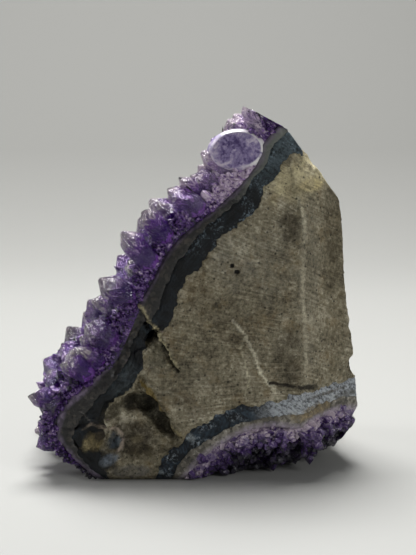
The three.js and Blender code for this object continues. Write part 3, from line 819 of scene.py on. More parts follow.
@dataclass(frozen=True)
class BandedAgate:
    """Blue-black chalcedony, broken and sawn: waxy, with fine bands along its layer and pale fibrous flecks."""

    name: str
    dark: str
    middle: str
    pale: str
    fringe: str
    paleness_at: tuple[float, float]
    along: int
    flecks_above: float

    def material(self) -> bpy.types.Material:
        """Returns the material."""
        look, tree = new_material(self.name)
        place = place_in_mm(tree)
        layer = add_node(tree, "SeparateXYZ", {}, {"Vector": attribute(tree, "layer").outputs["Vector"]})
        spot = add_node(tree, "SeparateXYZ", {}, {"Vector": place})
        stain_and_shading = attribute(tree, "stain_and_shading")
        clouds = add_node(tree, "TexNoise", {}, {"Vector": place, "Scale": 1 / 4.5, "Detail": 6, "Roughness": 0.68, "Distortion": 0.8})
        grain = add_node(tree, "TexNoise", {}, {"Vector": place, "Scale": 1 / 0.8, "Detail": 4, "Roughness": 0.75})
        # Bands about 0.9 mm apart that follow the layer
        bent = add_node(tree, "Math", {"operation": "MULTIPLY_ADD"}, {0: clouds.outputs["Fac"], 1: 3.0, 2: layer.outputs[1]})
        bands = add_node(tree, "Math", {"operation": "SINE"}, {0: add_node(tree, "Math", {"operation": "MULTIPLY"}, {0: bent, 1: 6.9})})
        cloudy = add_node(tree, "MapRange", {}, {"Value": clouds.outputs["Fac"], "From Min": 0.47, "From Max": 0.66})
        banded = add_node(tree, "Math", {"operation": "MULTIPLY_ADD", "use_clamp": True}, {0: bands, 1: 0.1, 2: cloudy})
        dark = add_node(tree, "Mix", {"data_type": "RGBA"}, {"Factor": banded, "A": self.dark, "B": self.middle})
        height = add_node(
            tree, "MapRange", {"interpolation_type": "SMOOTHSTEP"},
            {"Value": spot.outputs[self.along], "From Min": self.paleness_at[0], "From Max": self.paleness_at[1]},
        )
        # Fibres that run down to the right, about 0.7 mm apart
        drawn = add_node(
            tree, "Mapping", {"vector_type": "TEXTURE"},
            {"Vector": place, "Rotation": (0, math.radians(33), 0), "Scale": (4.5, 1.5, 0.7)},
        )
        fibres = add_node(tree, "TexNoise", {}, {"Vector": drawn, "Scale": 1.0, "Detail": 4, "Roughness": 0.7})
        woven = add_node(tree, "Math", {"operation": "MULTIPLY_ADD"}, {0: fibres.outputs["Fac"], 1: 0.9, 2: grain.outputs["Fac"]})
        veined = add_node(tree, "Math", {"operation": "MULTIPLY_ADD"}, {0: clouds.outputs["Fac"], 1: 0.6, 2: woven})
        mottled = add_node(tree, "MapRange", {}, {"Value": veined, "From Min": 1.02, "From Max": 1.4})
        pale_share = add_node(tree, "Math", {"operation": "MULTIPLY"}, {0: height, 1: mottled})
        paled = add_node(tree, "Mix", {"data_type": "RGBA"}, {"Factor": pale_share, "A": dark, "B": self.pale})
        # Flecks gather in patches
        patches = add_node(tree, "TexNoise", {}, {"Vector": place, "Scale": 1 / 6, "Detail": 3, "Roughness": 0.6})
        here = add_node(tree, "MapRange", {}, {"Value": patches.outputs["Fac"], "From Min": 0.47, "From Max": 0.6})
        specks = add_node(tree, "MapRange", {}, {"Value": grain.outputs["Fac"], "From Min": 0.5, "From Max": 0.72})
        level = add_node(
            tree, "MapRange", {}, {"Value": spot.outputs[2], "From Min": self.flecks_above, "From Max": self.flecks_above + 12}
        )
        gathered = add_node(tree, "Math", {"operation": "MULTIPLY"}, {0: here, 1: level})
        frayed = add_node(tree, "Math", {"operation": "MULTIPLY"}, {0: gathered, 1: specks})
        fringed = add_node(tree, "Mix", {"data_type": "RGBA"}, {"Factor": frayed, "A": paled, "B": self.fringe})
        stained_and_shaded = add_node(
            tree, "Mix", {"data_type": "RGBA"},
            {"Factor": uneven_share(tree, stain_and_shading, place), "A": fringed, "B": mottled_stain_and_shading(tree, stain_and_shading, place)},
        )
        relief = add_node(tree, "Math", {"operation": "MULTIPLY_ADD"}, {0: bands, 1: 0.12, 2: grain.outputs["Fac"]})
        chips, _ = faceted_height(tree, place, 1.3)
        chipped = add_node(tree, "Math", {"operation": "MULTIPLY_ADD"}, {0: chips.outputs["Value"], 1: 0.7, 2: relief})
        bump = add_node(tree, "Bump", {}, {"Height": chipped, "Strength": 0.55, "Distance": 0.5 * MM})
        gloss = add_node(tree, "MapRange", {}, {"Value": grain.outputs["Fac"], "To Min": 0.3, "To Max": 0.62})
        shader = add_node(
            tree, "BsdfPrincipled", {},
            {"Base Color": stained_and_shaded, "Roughness": gloss, "Normal": bump, "IOR": 1.54, "Specular IOR Level": 0.25},
        )
        close_material(tree, shader)
        return look


@dataclass(frozen=True)
class GranularQuartz:
    """Grey-brown quartz and chalcedony in close grains, sawn through: slightly glassy, speckled, with a pale line."""

    name: str
    colours: tuple[str, str, str]
    upper: str
    upper_from: tuple[float, float]
    line: str
    line_width: float

    def material(self) -> bpy.types.Material:
        """Returns the material."""
        look, tree = new_material(self.name)
        place = place_in_mm(tree)
        layer = add_node(tree, "SeparateXYZ", {}, {"Vector": attribute(tree, "layer").outputs["Vector"]})
        spot = add_node(tree, "SeparateXYZ", {}, {"Vector": place})
        stain_and_shading = attribute(tree, "stain_and_shading")
        clouds = add_node(tree, "TexNoise", {}, {"Vector": place, "Scale": 1 / 5, "Detail": 7, "Roughness": 0.74, "Distortion": 0.5})
        facets, grains = faceted_height(tree, place, 0.9)
        fleck = add_node(tree, "SeparateColor", {}, {"Color": grains.outputs["Color"]})
        tone = add_node(tree, "Math", {"operation": "MULTIPLY_ADD"}, {0: fleck.outputs[0], 1: 0.26, 2: clouds.outputs["Fac"]})
        low = add_node(tree, "MapRange", {}, {"Value": tone, "From Min": 0.42, "From Max": 0.88})
        body = add_node(tree, "ValToRGB", {}, {"Fac": low}, [(0, self.colours[0]), (0.5, self.colours[1]), (1, self.colours[2])])
        ragged = add_node(tree, "Math", {"operation": "MULTIPLY_ADD"}, {0: tone, 1: 24, 2: spot.outputs[2]})
        height = add_node(
            tree, "MapRange", {"interpolation_type": "SMOOTHSTEP"},
            {"Value": ragged, "From Min": self.upper_from[0] + 10, "From Max": self.upper_from[1] + 18, "To Max": 0.85},
        )
        raised = add_node(tree, "Mix", {"data_type": "RGBA"}, {"Factor": height, "A": body, "B": self.upper})
        near = add_node(tree, "MapRange", {}, {"Value": layer.outputs[2], "From Min": self.line_width, "From Max": 0.1})
        glint = add_node(tree, "MapRange", {}, {"Value": fleck.outputs[2], "To Min": 0.35, "To Max": 1.0})
        lit = add_node(tree, "Math", {"operation": "MULTIPLY"}, {0: near, 1: glint})
        lined = add_node(tree, "Mix", {"data_type": "RGBA"}, {"Factor": lit, "A": raised, "B": self.line})
        stained_and_shaded = add_node(
            tree, "Mix", {"data_type": "RGBA"},
            {"Factor": uneven_share(tree, stain_and_shading, place), "A": lined, "B": mottled_stain_and_shading(tree, stain_and_shading, place)},
        )
        uneven = add_node(tree, "Math", {"operation": "MULTIPLY_ADD"}, {0: facets.outputs["Value"], 1: 0.8, 2: tone})
        bump = add_node(tree, "Bump", {}, {"Height": uneven, "Strength": 0.6, "Distance": 0.4 * MM})
        gloss = add_node(tree, "MapRange", {}, {"Value": fleck.outputs[1], "To Min": 0.35, "To Max": 0.7})
        shader = add_node(tree, "BsdfPrincipled", {}, {"Base Color": stained_and_shaded, "Roughness": gloss, "Normal": bump, "IOR": 1.54})
        close_material(tree, shader)
        return look


def mottled_stain_and_shading(tree: bpy.types.NodeTree, stain_and_shading: bpy.types.Node, place: bpy.types.Node) -> bpy.types.Node:
    """Darkens the colour of the painted stains, light and shade in close, uneven patches.

    Args:
        tree: The material's node tree.
        stain_and_shading: The attribute with the stains and the painted light and shade.
        place: The place in millimetres.

    Returns:
        The node with the mottled colour.
    """
    field = add_node(tree, "TexNoise", {}, {"Vector": place, "Scale": 1 / 1.7, "Detail": 7, "Roughness": 0.8, "Distortion": 0.8})
    shade = add_node(tree, "ValToRGB", {}, {"Fac": field.outputs["Fac"]}, [(0.38, "#35322e"), (0.5, "#a8a6a2"), (0.64, "#ffffff")])
    return add_node(
        tree, "Mix", {"data_type": "RGBA", "blend_type": "MULTIPLY"}, {"Factor": 0.9, "A": stain_and_shading.outputs["Color"], "B": shade}
    )


def uneven_share(tree: bpy.types.NodeTree, stain_and_shading: bpy.types.Node, place: bpy.types.Node) -> bpy.types.Node:
    """Breaks the soft share of the painted stains, light and shade up into crisp, uneven patches.

    Args:
        tree: The material's node tree.
        stain_and_shading: The attribute with the stains and the painted light and shade.
        place: The place in millimetres.

    Returns:
        The node with the stain's share.
    """
    field = add_node(tree, "TexNoise", {}, {"Vector": place, "Scale": 1 / 3.4, "Detail": 8, "Roughness": 0.78, "Distortion": 0.6})
    spread = add_node(tree, "Math", {"operation": "MULTIPLY_ADD"}, {0: field.outputs["Fac"], 1: 2.2, 2: -1.1})
    reached = add_node(tree, "Math", {"operation": "ADD"}, {0: stain_and_shading.outputs["Alpha"], 1: spread})
    return add_node(tree, "MapRange", {}, {"Value": reached, "From Min": 0.12, "From Max": 0.95, "To Max": 0.94})


def grown_streaks(tree: bpy.types.NodeTree, place: bpy.types.Node, size: tuple[float, float]) -> bpy.types.Node:
    """Gives an uneven field that is drawn out along the crystals' growth, away from the slope.

    Args:
        tree: The material's node tree.
        place: The place in millimetres.
        size: The streaks' length and width in millimetres.

    Returns:
        The noise node.
    """
    drawn = add_node(
        tree, "Mapping", {"vector_type": "TEXTURE"},
        {"Vector": place, "Rotation": (0, GROWTH_TURN, 0), "Scale": (size[0], size[1], size[1])},
    )
    return add_node(
        tree, "TexNoise", {}, {"Vector": drawn, "Scale": 1.0, "Detail": 5, "Roughness": 0.66, "Distortion": 1.1}
    )


@dataclass(frozen=True)
class ClearAmethyst:
    """Amethyst points, grown free: glassy faces, clear tips with white veils that also serve as painted glints, deep
    purple bodies, milky roots, and painted shade along the worn edges.
    """

    name: str = "clear amethyst"
    clear: str = "#f6e6f2"
    body: str = "#9650cc"
    deep: str = "#45187e"
    milk: str = "#7f5a9e"
    # The veil colour is also laid on the tips as painted glints
    veil_and_glint: str = "#f7e4ee"
    smoky: str = "#382a4c"
    # The edge colour is painted shade on the worn edges
    edge: str = "#2a2430"
    absorbed: str = "#a45bd0"
    density: float = 190.0

    def material(self) -> bpy.types.Material:
        """Returns the material."""
        look, tree = new_material(self.name)
        place = place_in_mm(tree)
        growth = add_node(tree, "SeparateColor", {}, {"Color": attribute(tree, "growth").outputs["Color"]})
        tone, height, mist = growth.outputs[0], growth.outputs[1], growth.outputs[2]
        veils = grown_streaks(tree, place, (2.8, 1.3))
        fine = add_node(tree, "TexNoise", {}, {"Vector": place, "Scale": 1 / 0.6, "Detail": 3, "Roughness": 0.7})
        facets, grains = faceted_height(tree, place, 1.2)
        fleck = add_node(tree, "SeparateColor", {}, {"Color": grains.outputs["Color"]})
        bent = add_node(tree, "Math", {"operation": "MULTIPLY_ADD"}, {0: veils.outputs["Fac"], 1: 1.0, 2: height})
        zoned = add_node(
            tree, "ValToRGB", {}, {"Fac": add_node(tree, "MapRange", {}, {"Value": bent, "From Min": 0.3, "From Max": 1.55})},
            [(0.04, self.milk), (0.16, self.body), (0.28, self.deep), (0.48, self.deep), (0.62, self.body), (0.78, self.clear)],
        )
        smoked = add_node(tree, "MapRange", {}, {"Value": tone, "From Min": 0.8, "From Max": 0.92, "To Max": 0.6})
        shaded = add_node(tree, "Mix", {"data_type": "RGBA"}, {"Factor": smoked, "A": zoned, "B": self.smoky})
        # White veils: whole pale crystals, and healed cracks in the others, which gather at the tips, where their white
        # also stands in as painted glints
        pale = add_node(tree, "MapRange", {}, {"Value": tone, "From Min": 0.14, "From Max": 0.06, "To Max": 0.12})
        spot = add_node(tree, "SeparateXYZ", {}, {"Vector": place})
        topmost = add_node(tree, "MapRange", {}, {"Value": spot.outputs[2], "From Min": 103, "From Max": 108, "To Max": 0.1})
        faded = add_node(tree, "MapRange", {}, {"Value": spot.outputs[2], "From Min": 102, "From Max": 106, "To Max": 0.1})
        clouded = add_node(tree, "Math", {"operation": "ADD"}, {0: veils.outputs["Fac"], 1: topmost})
        crack = add_node(tree, "MapRange", {}, {"Value": clouded, "From Min": 0.52, "From Max": 0.6})
        tips = add_node(tree, "MapRange", {}, {"Value": height, "From Min": 0.35, "From Max": 0.85, "To Min": 0.08, "To Max": 0.8})
        ground_off = add_node(tree, "MapRange", {}, {"Value": spot.outputs[2], "From Min": 104, "From Max": 109, "To Max": 0.65})
        tips = add_node(tree, "Math", {"operation": "MAXIMUM"}, {0: tips, 1: ground_off})
        tipped = add_node(tree, "Math", {"operation": "MULTIPLY"}, {0: crack, 1: tips})
        flecked = add_node(tree, "MapRange", {}, {"Value": fleck.outputs[0], "To Min": 0.3})
        cracks_and_glints = add_node(tree, "Math", {"operation": "MULTIPLY"}, {0: tipped, 1: flecked})
        # The points round the window are milky
        high = add_node(tree, "MapRange", {}, {"Value": spot.outputs[2], "From Min": 86, "From Max": 95, "To Max": 0.26})
        raised = add_node(tree, "Math", {"operation": "SUBTRACT"}, {0: high, 1: faded})
        paler = add_node(tree, "Math", {"operation": "ADD"}, {0: pale, 1: raised})
        whitened = add_node(tree, "Math", {"operation": "ADD", "use_clamp": True}, {0: paler, 1: cracks_and_glints})
        veiled = add_node(tree, "Mix", {"data_type": "RGBA"}, {"Factor": whitened, "A": shaded, "B": self.veil_and_glint})
        # Painted shade: the worn edges are darkened and made less clear, for the light that is turned away inside along
        # them
        edge = attribute(tree, "edge").outputs["Fac"]
        edge_shaded = add_node(tree, "Mix", {"data_type": "RGBA"}, {"Factor": edge, "A": veiled, "B": self.edge})
        rooty = add_node(tree, "MapRange", {}, {"Value": height, "From Min": 0.0, "From Max": 0.7, "To Min": 0.6, "To Max": 0.15})
        milky = add_node(tree, "Math", {"operation": "MULTIPLY_ADD", "use_clamp": True}, {0: whitened, 1: 0.45, 2: rooty})
        closed = add_node(tree, "Math", {"operation": "MULTIPLY_ADD", "use_clamp": True}, {0: edge, 1: 0.6, 2: milky})
        clearness = add_node(tree, "Math", {"operation": "SUBTRACT", "use_clamp": True}, {0: 1.0, 1: closed})
        rough = add_node(tree, "MapRange", {}, {"Value": fine.outputs["Fac"], "From Min": 0.45, "From Max": 0.75, "To Min": 0.03, "To Max": 0.2})
        relief = add_node(tree, "Math", {"operation": "MULTIPLY_ADD"}, {0: fine.outputs["Fac"], 1: 0.2, 2: veils.outputs["Fac"]})
        uneven = add_node(tree, "Math", {"operation": "MULTIPLY_ADD"}, {0: mist, 1: 0.6, 2: 0.3})
        broken = add_node(tree, "Math", {"operation": "MULTIPLY_ADD"}, {0: facets.outputs["Value"], 1: uneven, 2: relief})
        bump = add_node(tree, "Bump", {}, {"Height": broken, "Strength": 0.9, "Distance": 0.8 * MM})
        shader = add_node(
            tree, "BsdfPrincipled", {},
            {
                "Base Color": edge_shaded, "Roughness": rough, "IOR": 1.544, "Specular IOR Level": 0.5,
                "Transmission Weight": clearness, "Normal": bump,
            },
        )
        inside = add_node(tree, "VolumeAbsorption", {}, {"Color": self.absorbed, "Density": self.density})
        close_material(tree, shader, inside)
        return look


@dataclass(frozen=True)
class PolishedAmethyst:
    """Amethyst ground flush and polished: even gloss over milky purple zones, and a painted highlight on the upper
    right of its rim.
    """

    colours: tuple[str, ...] = ("#524374", "#8577a5", "#ada0c3", "#ded2e2")
    # The rim's colour is a painted highlight
    rim: str = "#f4f1f2"

    def material(self) -> bpy.types.Material:
        """Returns the material."""
        look, tree = new_material("polished amethyst")
        place = place_in_mm(tree)
        rim = attribute(tree, "rim").outputs["Fac"]
        spot = add_node(tree, "SeparateXYZ", {}, {"Vector": place})
        zones = add_node(tree, "TexNoise", {}, {"Vector": place, "Scale": 1 / 5, "Detail": 6, "Roughness": 0.66, "Distortion": 1.2})
        facets, grains = faceted_height(tree, place, 0.8)
        fleck = add_node(tree, "SeparateColor", {}, {"Color": grains.outputs["Color"]})
        # The window pales downwards, below its middle
        lower = add_node(tree, "MapRange", {}, {"Value": spot.outputs[2], "From Min": 100, "From Max": 92, "To Max": 0.22})
        tone = add_node(tree, "Math", {"operation": "MULTIPLY_ADD"}, {0: fleck.outputs[0], 1: 0.2, 2: zones.outputs["Fac"]})
        flat = add_node(tree, "VectorMath", {"operation": "MULTIPLY"}, {0: place, 1: (1, 0, 1)})
        far = add_node(
            tree, "VectorMath", {"operation": "DISTANCE"}, {0: flat, 1: (PolishedWindow.CENTRE[0], 0, PolishedWindow.CENTRE[2])}
        )
        outer = add_node(
            tree, "MapRange", {}, {"Value": far.outputs["Value"], "From Min": 2, "From Max": 9, "To Min": -0.05, "To Max": 0.1}
        )
        lifted = add_node(tree, "Math", {"operation": "ADD"}, {0: tone, 1: lower})
        shaped = add_node(tree, "Math", {"operation": "ADD"}, {0: lifted, 1: outer})
        low = add_node(tree, "MapRange", {}, {"Value": shaped, "From Min": 0.42, "From Max": 0.86})
        count = len(self.colours) - 1
        body = add_node(tree, "ValToRGB", {}, {"Fac": low}, [(i / count, c) for i, c in enumerate(self.colours)])
        # Painted highlight: the front of the rim is whitened above and on the right, broken up in patches
        leaning = add_node(tree, "VectorMath", {"operation": "DOT_PRODUCT"}, {0: place, 1: (0.75, 0, 0.65)})
        right = add_node(tree, "MapRange", {}, {"Value": leaning.outputs["Value"], "From Min": 73.5, "From Max": 78})
        rim_highlight_patches = add_node(tree, "MapRange", {}, {"Value": zones.outputs["Fac"], "From Min": 0.36, "From Max": 0.5})
        fore = add_node(tree, "MapRange", {}, {"Value": spot.outputs[1], "From Min": -13.5, "From Max": -15.5})
        front = add_node(tree, "Math", {"operation": "MULTIPLY"}, {0: rim, 1: fore})
        edge = add_node(tree, "Math", {"operation": "MULTIPLY"}, {0: right, 1: front})
        rim_highlight = add_node(tree, "Math", {"operation": "MULTIPLY"}, {0: edge, 1: rim_highlight_patches})
        rimmed = add_node(tree, "Mix", {"data_type": "RGBA"}, {"Factor": rim_highlight, "A": body, "B": self.rim})
        bump = add_node(tree, "Bump", {}, {"Height": facets.outputs["Value"], "Strength": 0.12, "Distance": 0.3 * MM})
        shader = add_node(
            tree, "BsdfPrincipled", {},
            {"Base Color": rimmed, "Roughness": 0.22, "IOR": 1.544, "Transmission Weight": 0.2, "Normal": bump},
        )
        close_material(tree, shader)
        return look


@dataclass(frozen=True)
class DrusyAmethyst:
    """A crust of small amethyst grains, grown free: each catches the light alone, purple, lilac, white or black."""

    name: str
    colours: tuple[str, ...]
    clearness: float = 0.3
    darkening: float = -0.2
    palest_at: float = 300.0
    # Height from which painted shade darkens the grains towards the ground
    shaded_below: float = -20.0
    by_grain: float = 0.25
    by_streak: float = 1.4

    def material(self) -> bpy.types.Material:
        """Returns the material."""
        look, tree = new_material(self.name)
        place = place_in_mm(tree)
        growth = add_node(tree, "SeparateColor", {}, {"Color": attribute(tree, "growth").outputs["Color"]})
        clouds = add_node(tree, "TexNoise", {}, {"Vector": place, "Scale": 1 / 5, "Detail": 4, "Roughness": 0.6})
        fine = add_node(tree, "TexNoise", {}, {"Vector": place, "Scale": 1 / 0.8, "Detail": 3, "Roughness": 0.7})
        facets, grains = faceted_height(tree, place, 0.7)
        fleck = add_node(tree, "SeparateColor", {}, {"Color": grains.outputs["Color"]})
        streaks = grown_streaks(tree, place, (1.7, 0.65))
        mixed = add_node(tree, "Math", {"operation": "MULTIPLY_ADD"}, {0: growth.outputs[0], 1: self.by_grain, 2: clouds.outputs["Fac"]})
        streaked = add_node(tree, "Math", {"operation": "MULTIPLY_ADD"}, {0: streaks.outputs["Fac"], 1: self.by_streak, 2: mixed})
        finer = add_node(tree, "Math", {"operation": "MULTIPLY_ADD"}, {0: fleck.outputs[0], 1: 0.3, 2: streaked})
        # A positive darkening darkens the grains as the green channel grows, a negative one pales them; in the pocket
        # the grains are paler by the rind, with painted shade deeper down towards the ground
        sunk = add_node(tree, "Math", {"operation": "MULTIPLY_ADD"}, {0: growth.outputs[1], 1: -self.darkening, 2: 0.5 * self.darkening})
        spot = add_node(tree, "SeparateXYZ", {}, {"Vector": place})
        off_level = add_node(tree, "Math", {"operation": "SUBTRACT"}, {0: spot.outputs[2], 1: self.palest_at})
        distant = add_node(tree, "Math", {"operation": "ABSOLUTE"}, {0: off_level})
        upper = add_node(tree, "MapRange", {}, {"Value": distant, "From Min": 13, "From Max": 4, "To Max": 0.5})
        # The fringe by the ground is thin, and painted shade darkens its grains over the 8 mm above a given height
        lower = add_node(
            tree, "MapRange", {},
            {"Value": spot.outputs[2], "From Min": self.shaded_below, "From Max": self.shaded_below + 8, "To Min": -0.4, "To Max": 0},
        )
        risen = add_node(tree, "Math", {"operation": "ADD"}, {0: finer, 1: upper})
        paled = add_node(tree, "Math", {"operation": "ADD"}, {0: risen, 1: lower})
        darker = add_node(tree, "Math", {"operation": "ADD"}, {0: paled, 1: sunk})
        middle = 0.53 + 0.5 * (self.by_grain + self.by_streak + 0.3)
        low = add_node(tree, "MapRange", {}, {"Value": darker, "From Min": middle - 0.48, "From Max": middle + 0.44})
        count = len(self.colours) - 1
        body = add_node(tree, "ValToRGB", {}, {"Fac": low}, [(i / count, c) for i, c in enumerate(self.colours)])
        rough = add_node(tree, "MapRange", {}, {"Value": fine.outputs["Fac"], "From Min": 0.4, "From Max": 0.7, "To Min": 0.06, "To Max": 0.3})
        uneven = add_node(tree, "Math", {"operation": "MULTIPLY_ADD"}, {0: facets.outputs["Value"], 1: 1.2, 2: fine.outputs["Fac"]})
        bump = add_node(tree, "Bump", {}, {"Height": uneven, "Strength": 0.6, "Distance": 0.4 * MM})
        shader = add_node(
            tree, "BsdfPrincipled", {},
            {"Base Color": body, "Roughness": rough, "IOR": 1.544, "Transmission Weight": self.clearness, "Normal": bump},
        )
        close_material(tree, shader)
        return look


class Habit(Enum):
    """How a quartz point ends: how far each of its six end faces is cut down, as a share of its radius."""

    EVEN = (0.0, 0.0, 0.0, 0.0, 0.0, 0.0)
    THREE_FACED = (0.34, 0.0, 0.3, -0.05, 0.36, 0.02)
    CHISEL = (0.62, 0.0, 0.12, 0.0, 0.2, 0.0)
    LEANING = (0.42, 0.22, 0.0, 0.0, 0.0, 0.12)


@dataclass
class QuartzPoint:
    """One amethyst point: a six-sided prism cut by six end faces, which stands on a wall."""

    foot: Vector
    axis: Vector
    radius: float
    root: float
    rise: float
    spin: float
    widths: tuple[float, float]
    habit: Habit
    tone: float = 0.5
    END_SLOPE = math.radians(51.8)
    TIP_PER_RADIUS = 1.12

    @property
    def length(self) -> float:
        """Returns the height of the tip over the foot."""
        return self.root + self.rise + self.TIP_PER_RADIUS * self.radius

    def grow(self, edge: float) -> bmesh.types.BMesh:
        """Makes the point.

        Args:
            edge: Width of the worn edges, or 0 for sharp ones.

        Returns:
            A closed bmesh in millimetres, in place.
        """
        bm = bmesh.new()
        bmesh.ops.create_cone(
            bm, cap_ends=True, cap_tris=False, segments=6, radius1=0.55 * self.radius, radius2=self.radius,
            depth=self.root, matrix=Matrix.Translation((0, 0, self.root / 2)),
        )
        top = [f for f in bm.faces if f.normal.z > 0.99]
        grown = bmesh.ops.extrude_face_region(bm, geom=top)
        raised = [v for v in grown["geom"] if isinstance(v, bmesh.types.BMVert)]
        bmesh.ops.delete(bm, geom=top, context="FACES_ONLY")
        bmesh.ops.translate(bm, vec=(0, 0, self.length - self.root + self.radius), verts=raised)
        for side, share in enumerate(self.habit.value):
            turn = math.radians(30 + 60 * side)
            normal = Vector(
                (math.sin(self.END_SLOPE) * math.cos(turn), math.sin(self.END_SLOPE) * math.sin(turn), math.cos(self.END_SLOPE))
            )
            slice_off(bm, Vector((0, 0, self.length)) - normal * share * self.radius, normal)
        if edge:
            bmesh.ops.bevel(
                bm, geom=list(bm.edges), offset=edge, offset_type="OFFSET", segments=1, profile=0.5,
                affect="EDGES", material=-1,
            )
        bmesh.ops.scale(bm, vec=(*self.widths, 1), verts=bm.verts)
        turn = self.axis.to_track_quat("Z", "Y").to_matrix().to_4x4() @ Matrix.Rotation(self.spin, 4, "Z")
        bmesh.ops.transform(bm, matrix=Matrix.Translation(self.foot) @ turn, verts=bm.verts)
        return bm


def slice_off(bm: bmesh.types.BMesh, point: Vector, normal: Vector) -> None:
    """Cuts away what lies beyond a plane and closes the cut.

    Args:
        bm: The closed bmesh, which is changed.
        point: A point on the plane.
        normal: The direction that is cut away.
    """
    geometry = [*bm.verts, *bm.edges, *bm.faces]
    cut = bmesh.ops.bisect_plane(bm, geom=geometry, dist=1e-5, plane_co=point, plane_no=normal, clear_outer=True)
    edges = [e for e in cut["geom_cut"] if isinstance(e, bmesh.types.BMEdge)]
    if edges:
        bmesh.ops.holes_fill(bm, edges=edges, sides=0)


@dataclass(frozen=True)
class PlacedPoint:
    """A large point in a place of its own: along the outline, behind the front face."""

    along: float
    behind: float
    axis: tuple[float, float, float]
    radius: float
    height: float


PLACED_POINTS = (
    PlacedPoint(11, 3.4, (-0.42, -0.12, 0.9), 4.2, 11),
    PlacedPoint(7, 10, (-0.25, 0, 0.95), 4.2, 9),
    PlacedPoint(15, 12, (-0.6, 0.1, 0.8), 5, 12),
    PlacedPoint(104, 6, (-0.93, -0.2, 0.3), 5, 9.6),
    PlacedPoint(116, 4, (-0.9, -0.3, 0.3), 4.6, 9),
    PlacedPoint(26, 8, (-0.84, -0.1, 0.54), 4.8, 12),
    PlacedPoint(33, 5, (-0.84, -0.15, 0.54), 4.6, 12.4),
    PlacedPoint(18, 9, (-0.62, 0, 0.78), 3.4, 15),
    PlacedPoint(25.5, 5, (-0.84, -0.1, 0.5), 4.4, 13.2),
    PlacedPoint(31.5, 7, (-0.8, -0.1, 0.6), 4.0, 12.2),
    PlacedPoint(37.4, 4, (-0.77, -0.15, 0.64), 3.2, 12.4),
    PlacedPoint(42.2, 2.6, (-0.75, -0.2, 0.65), 4.4, 12.8),
    PlacedPoint(55.3, 2.4, (-0.6, -0.25, 0.78), 3.6, 12.4),
    PlacedPoint(63.7, 2.2, (-0.64, -0.25, 0.75), 4.2, 13.2),
    PlacedPoint(76.8, 2.4, (-0.78, -0.2, 0.6), 4.4, 11.4),
    PlacedPoint(83.4, 4, (-0.75, -0.1, 0.65), 3.6, 11.8),
    PlacedPoint(90, 2.2, (-0.8, -0.25, 0.5), 4.4, 11),
    PlacedPoint(103, 2, (-0.78, -0.35, 0.5), 4.2, 11),
)


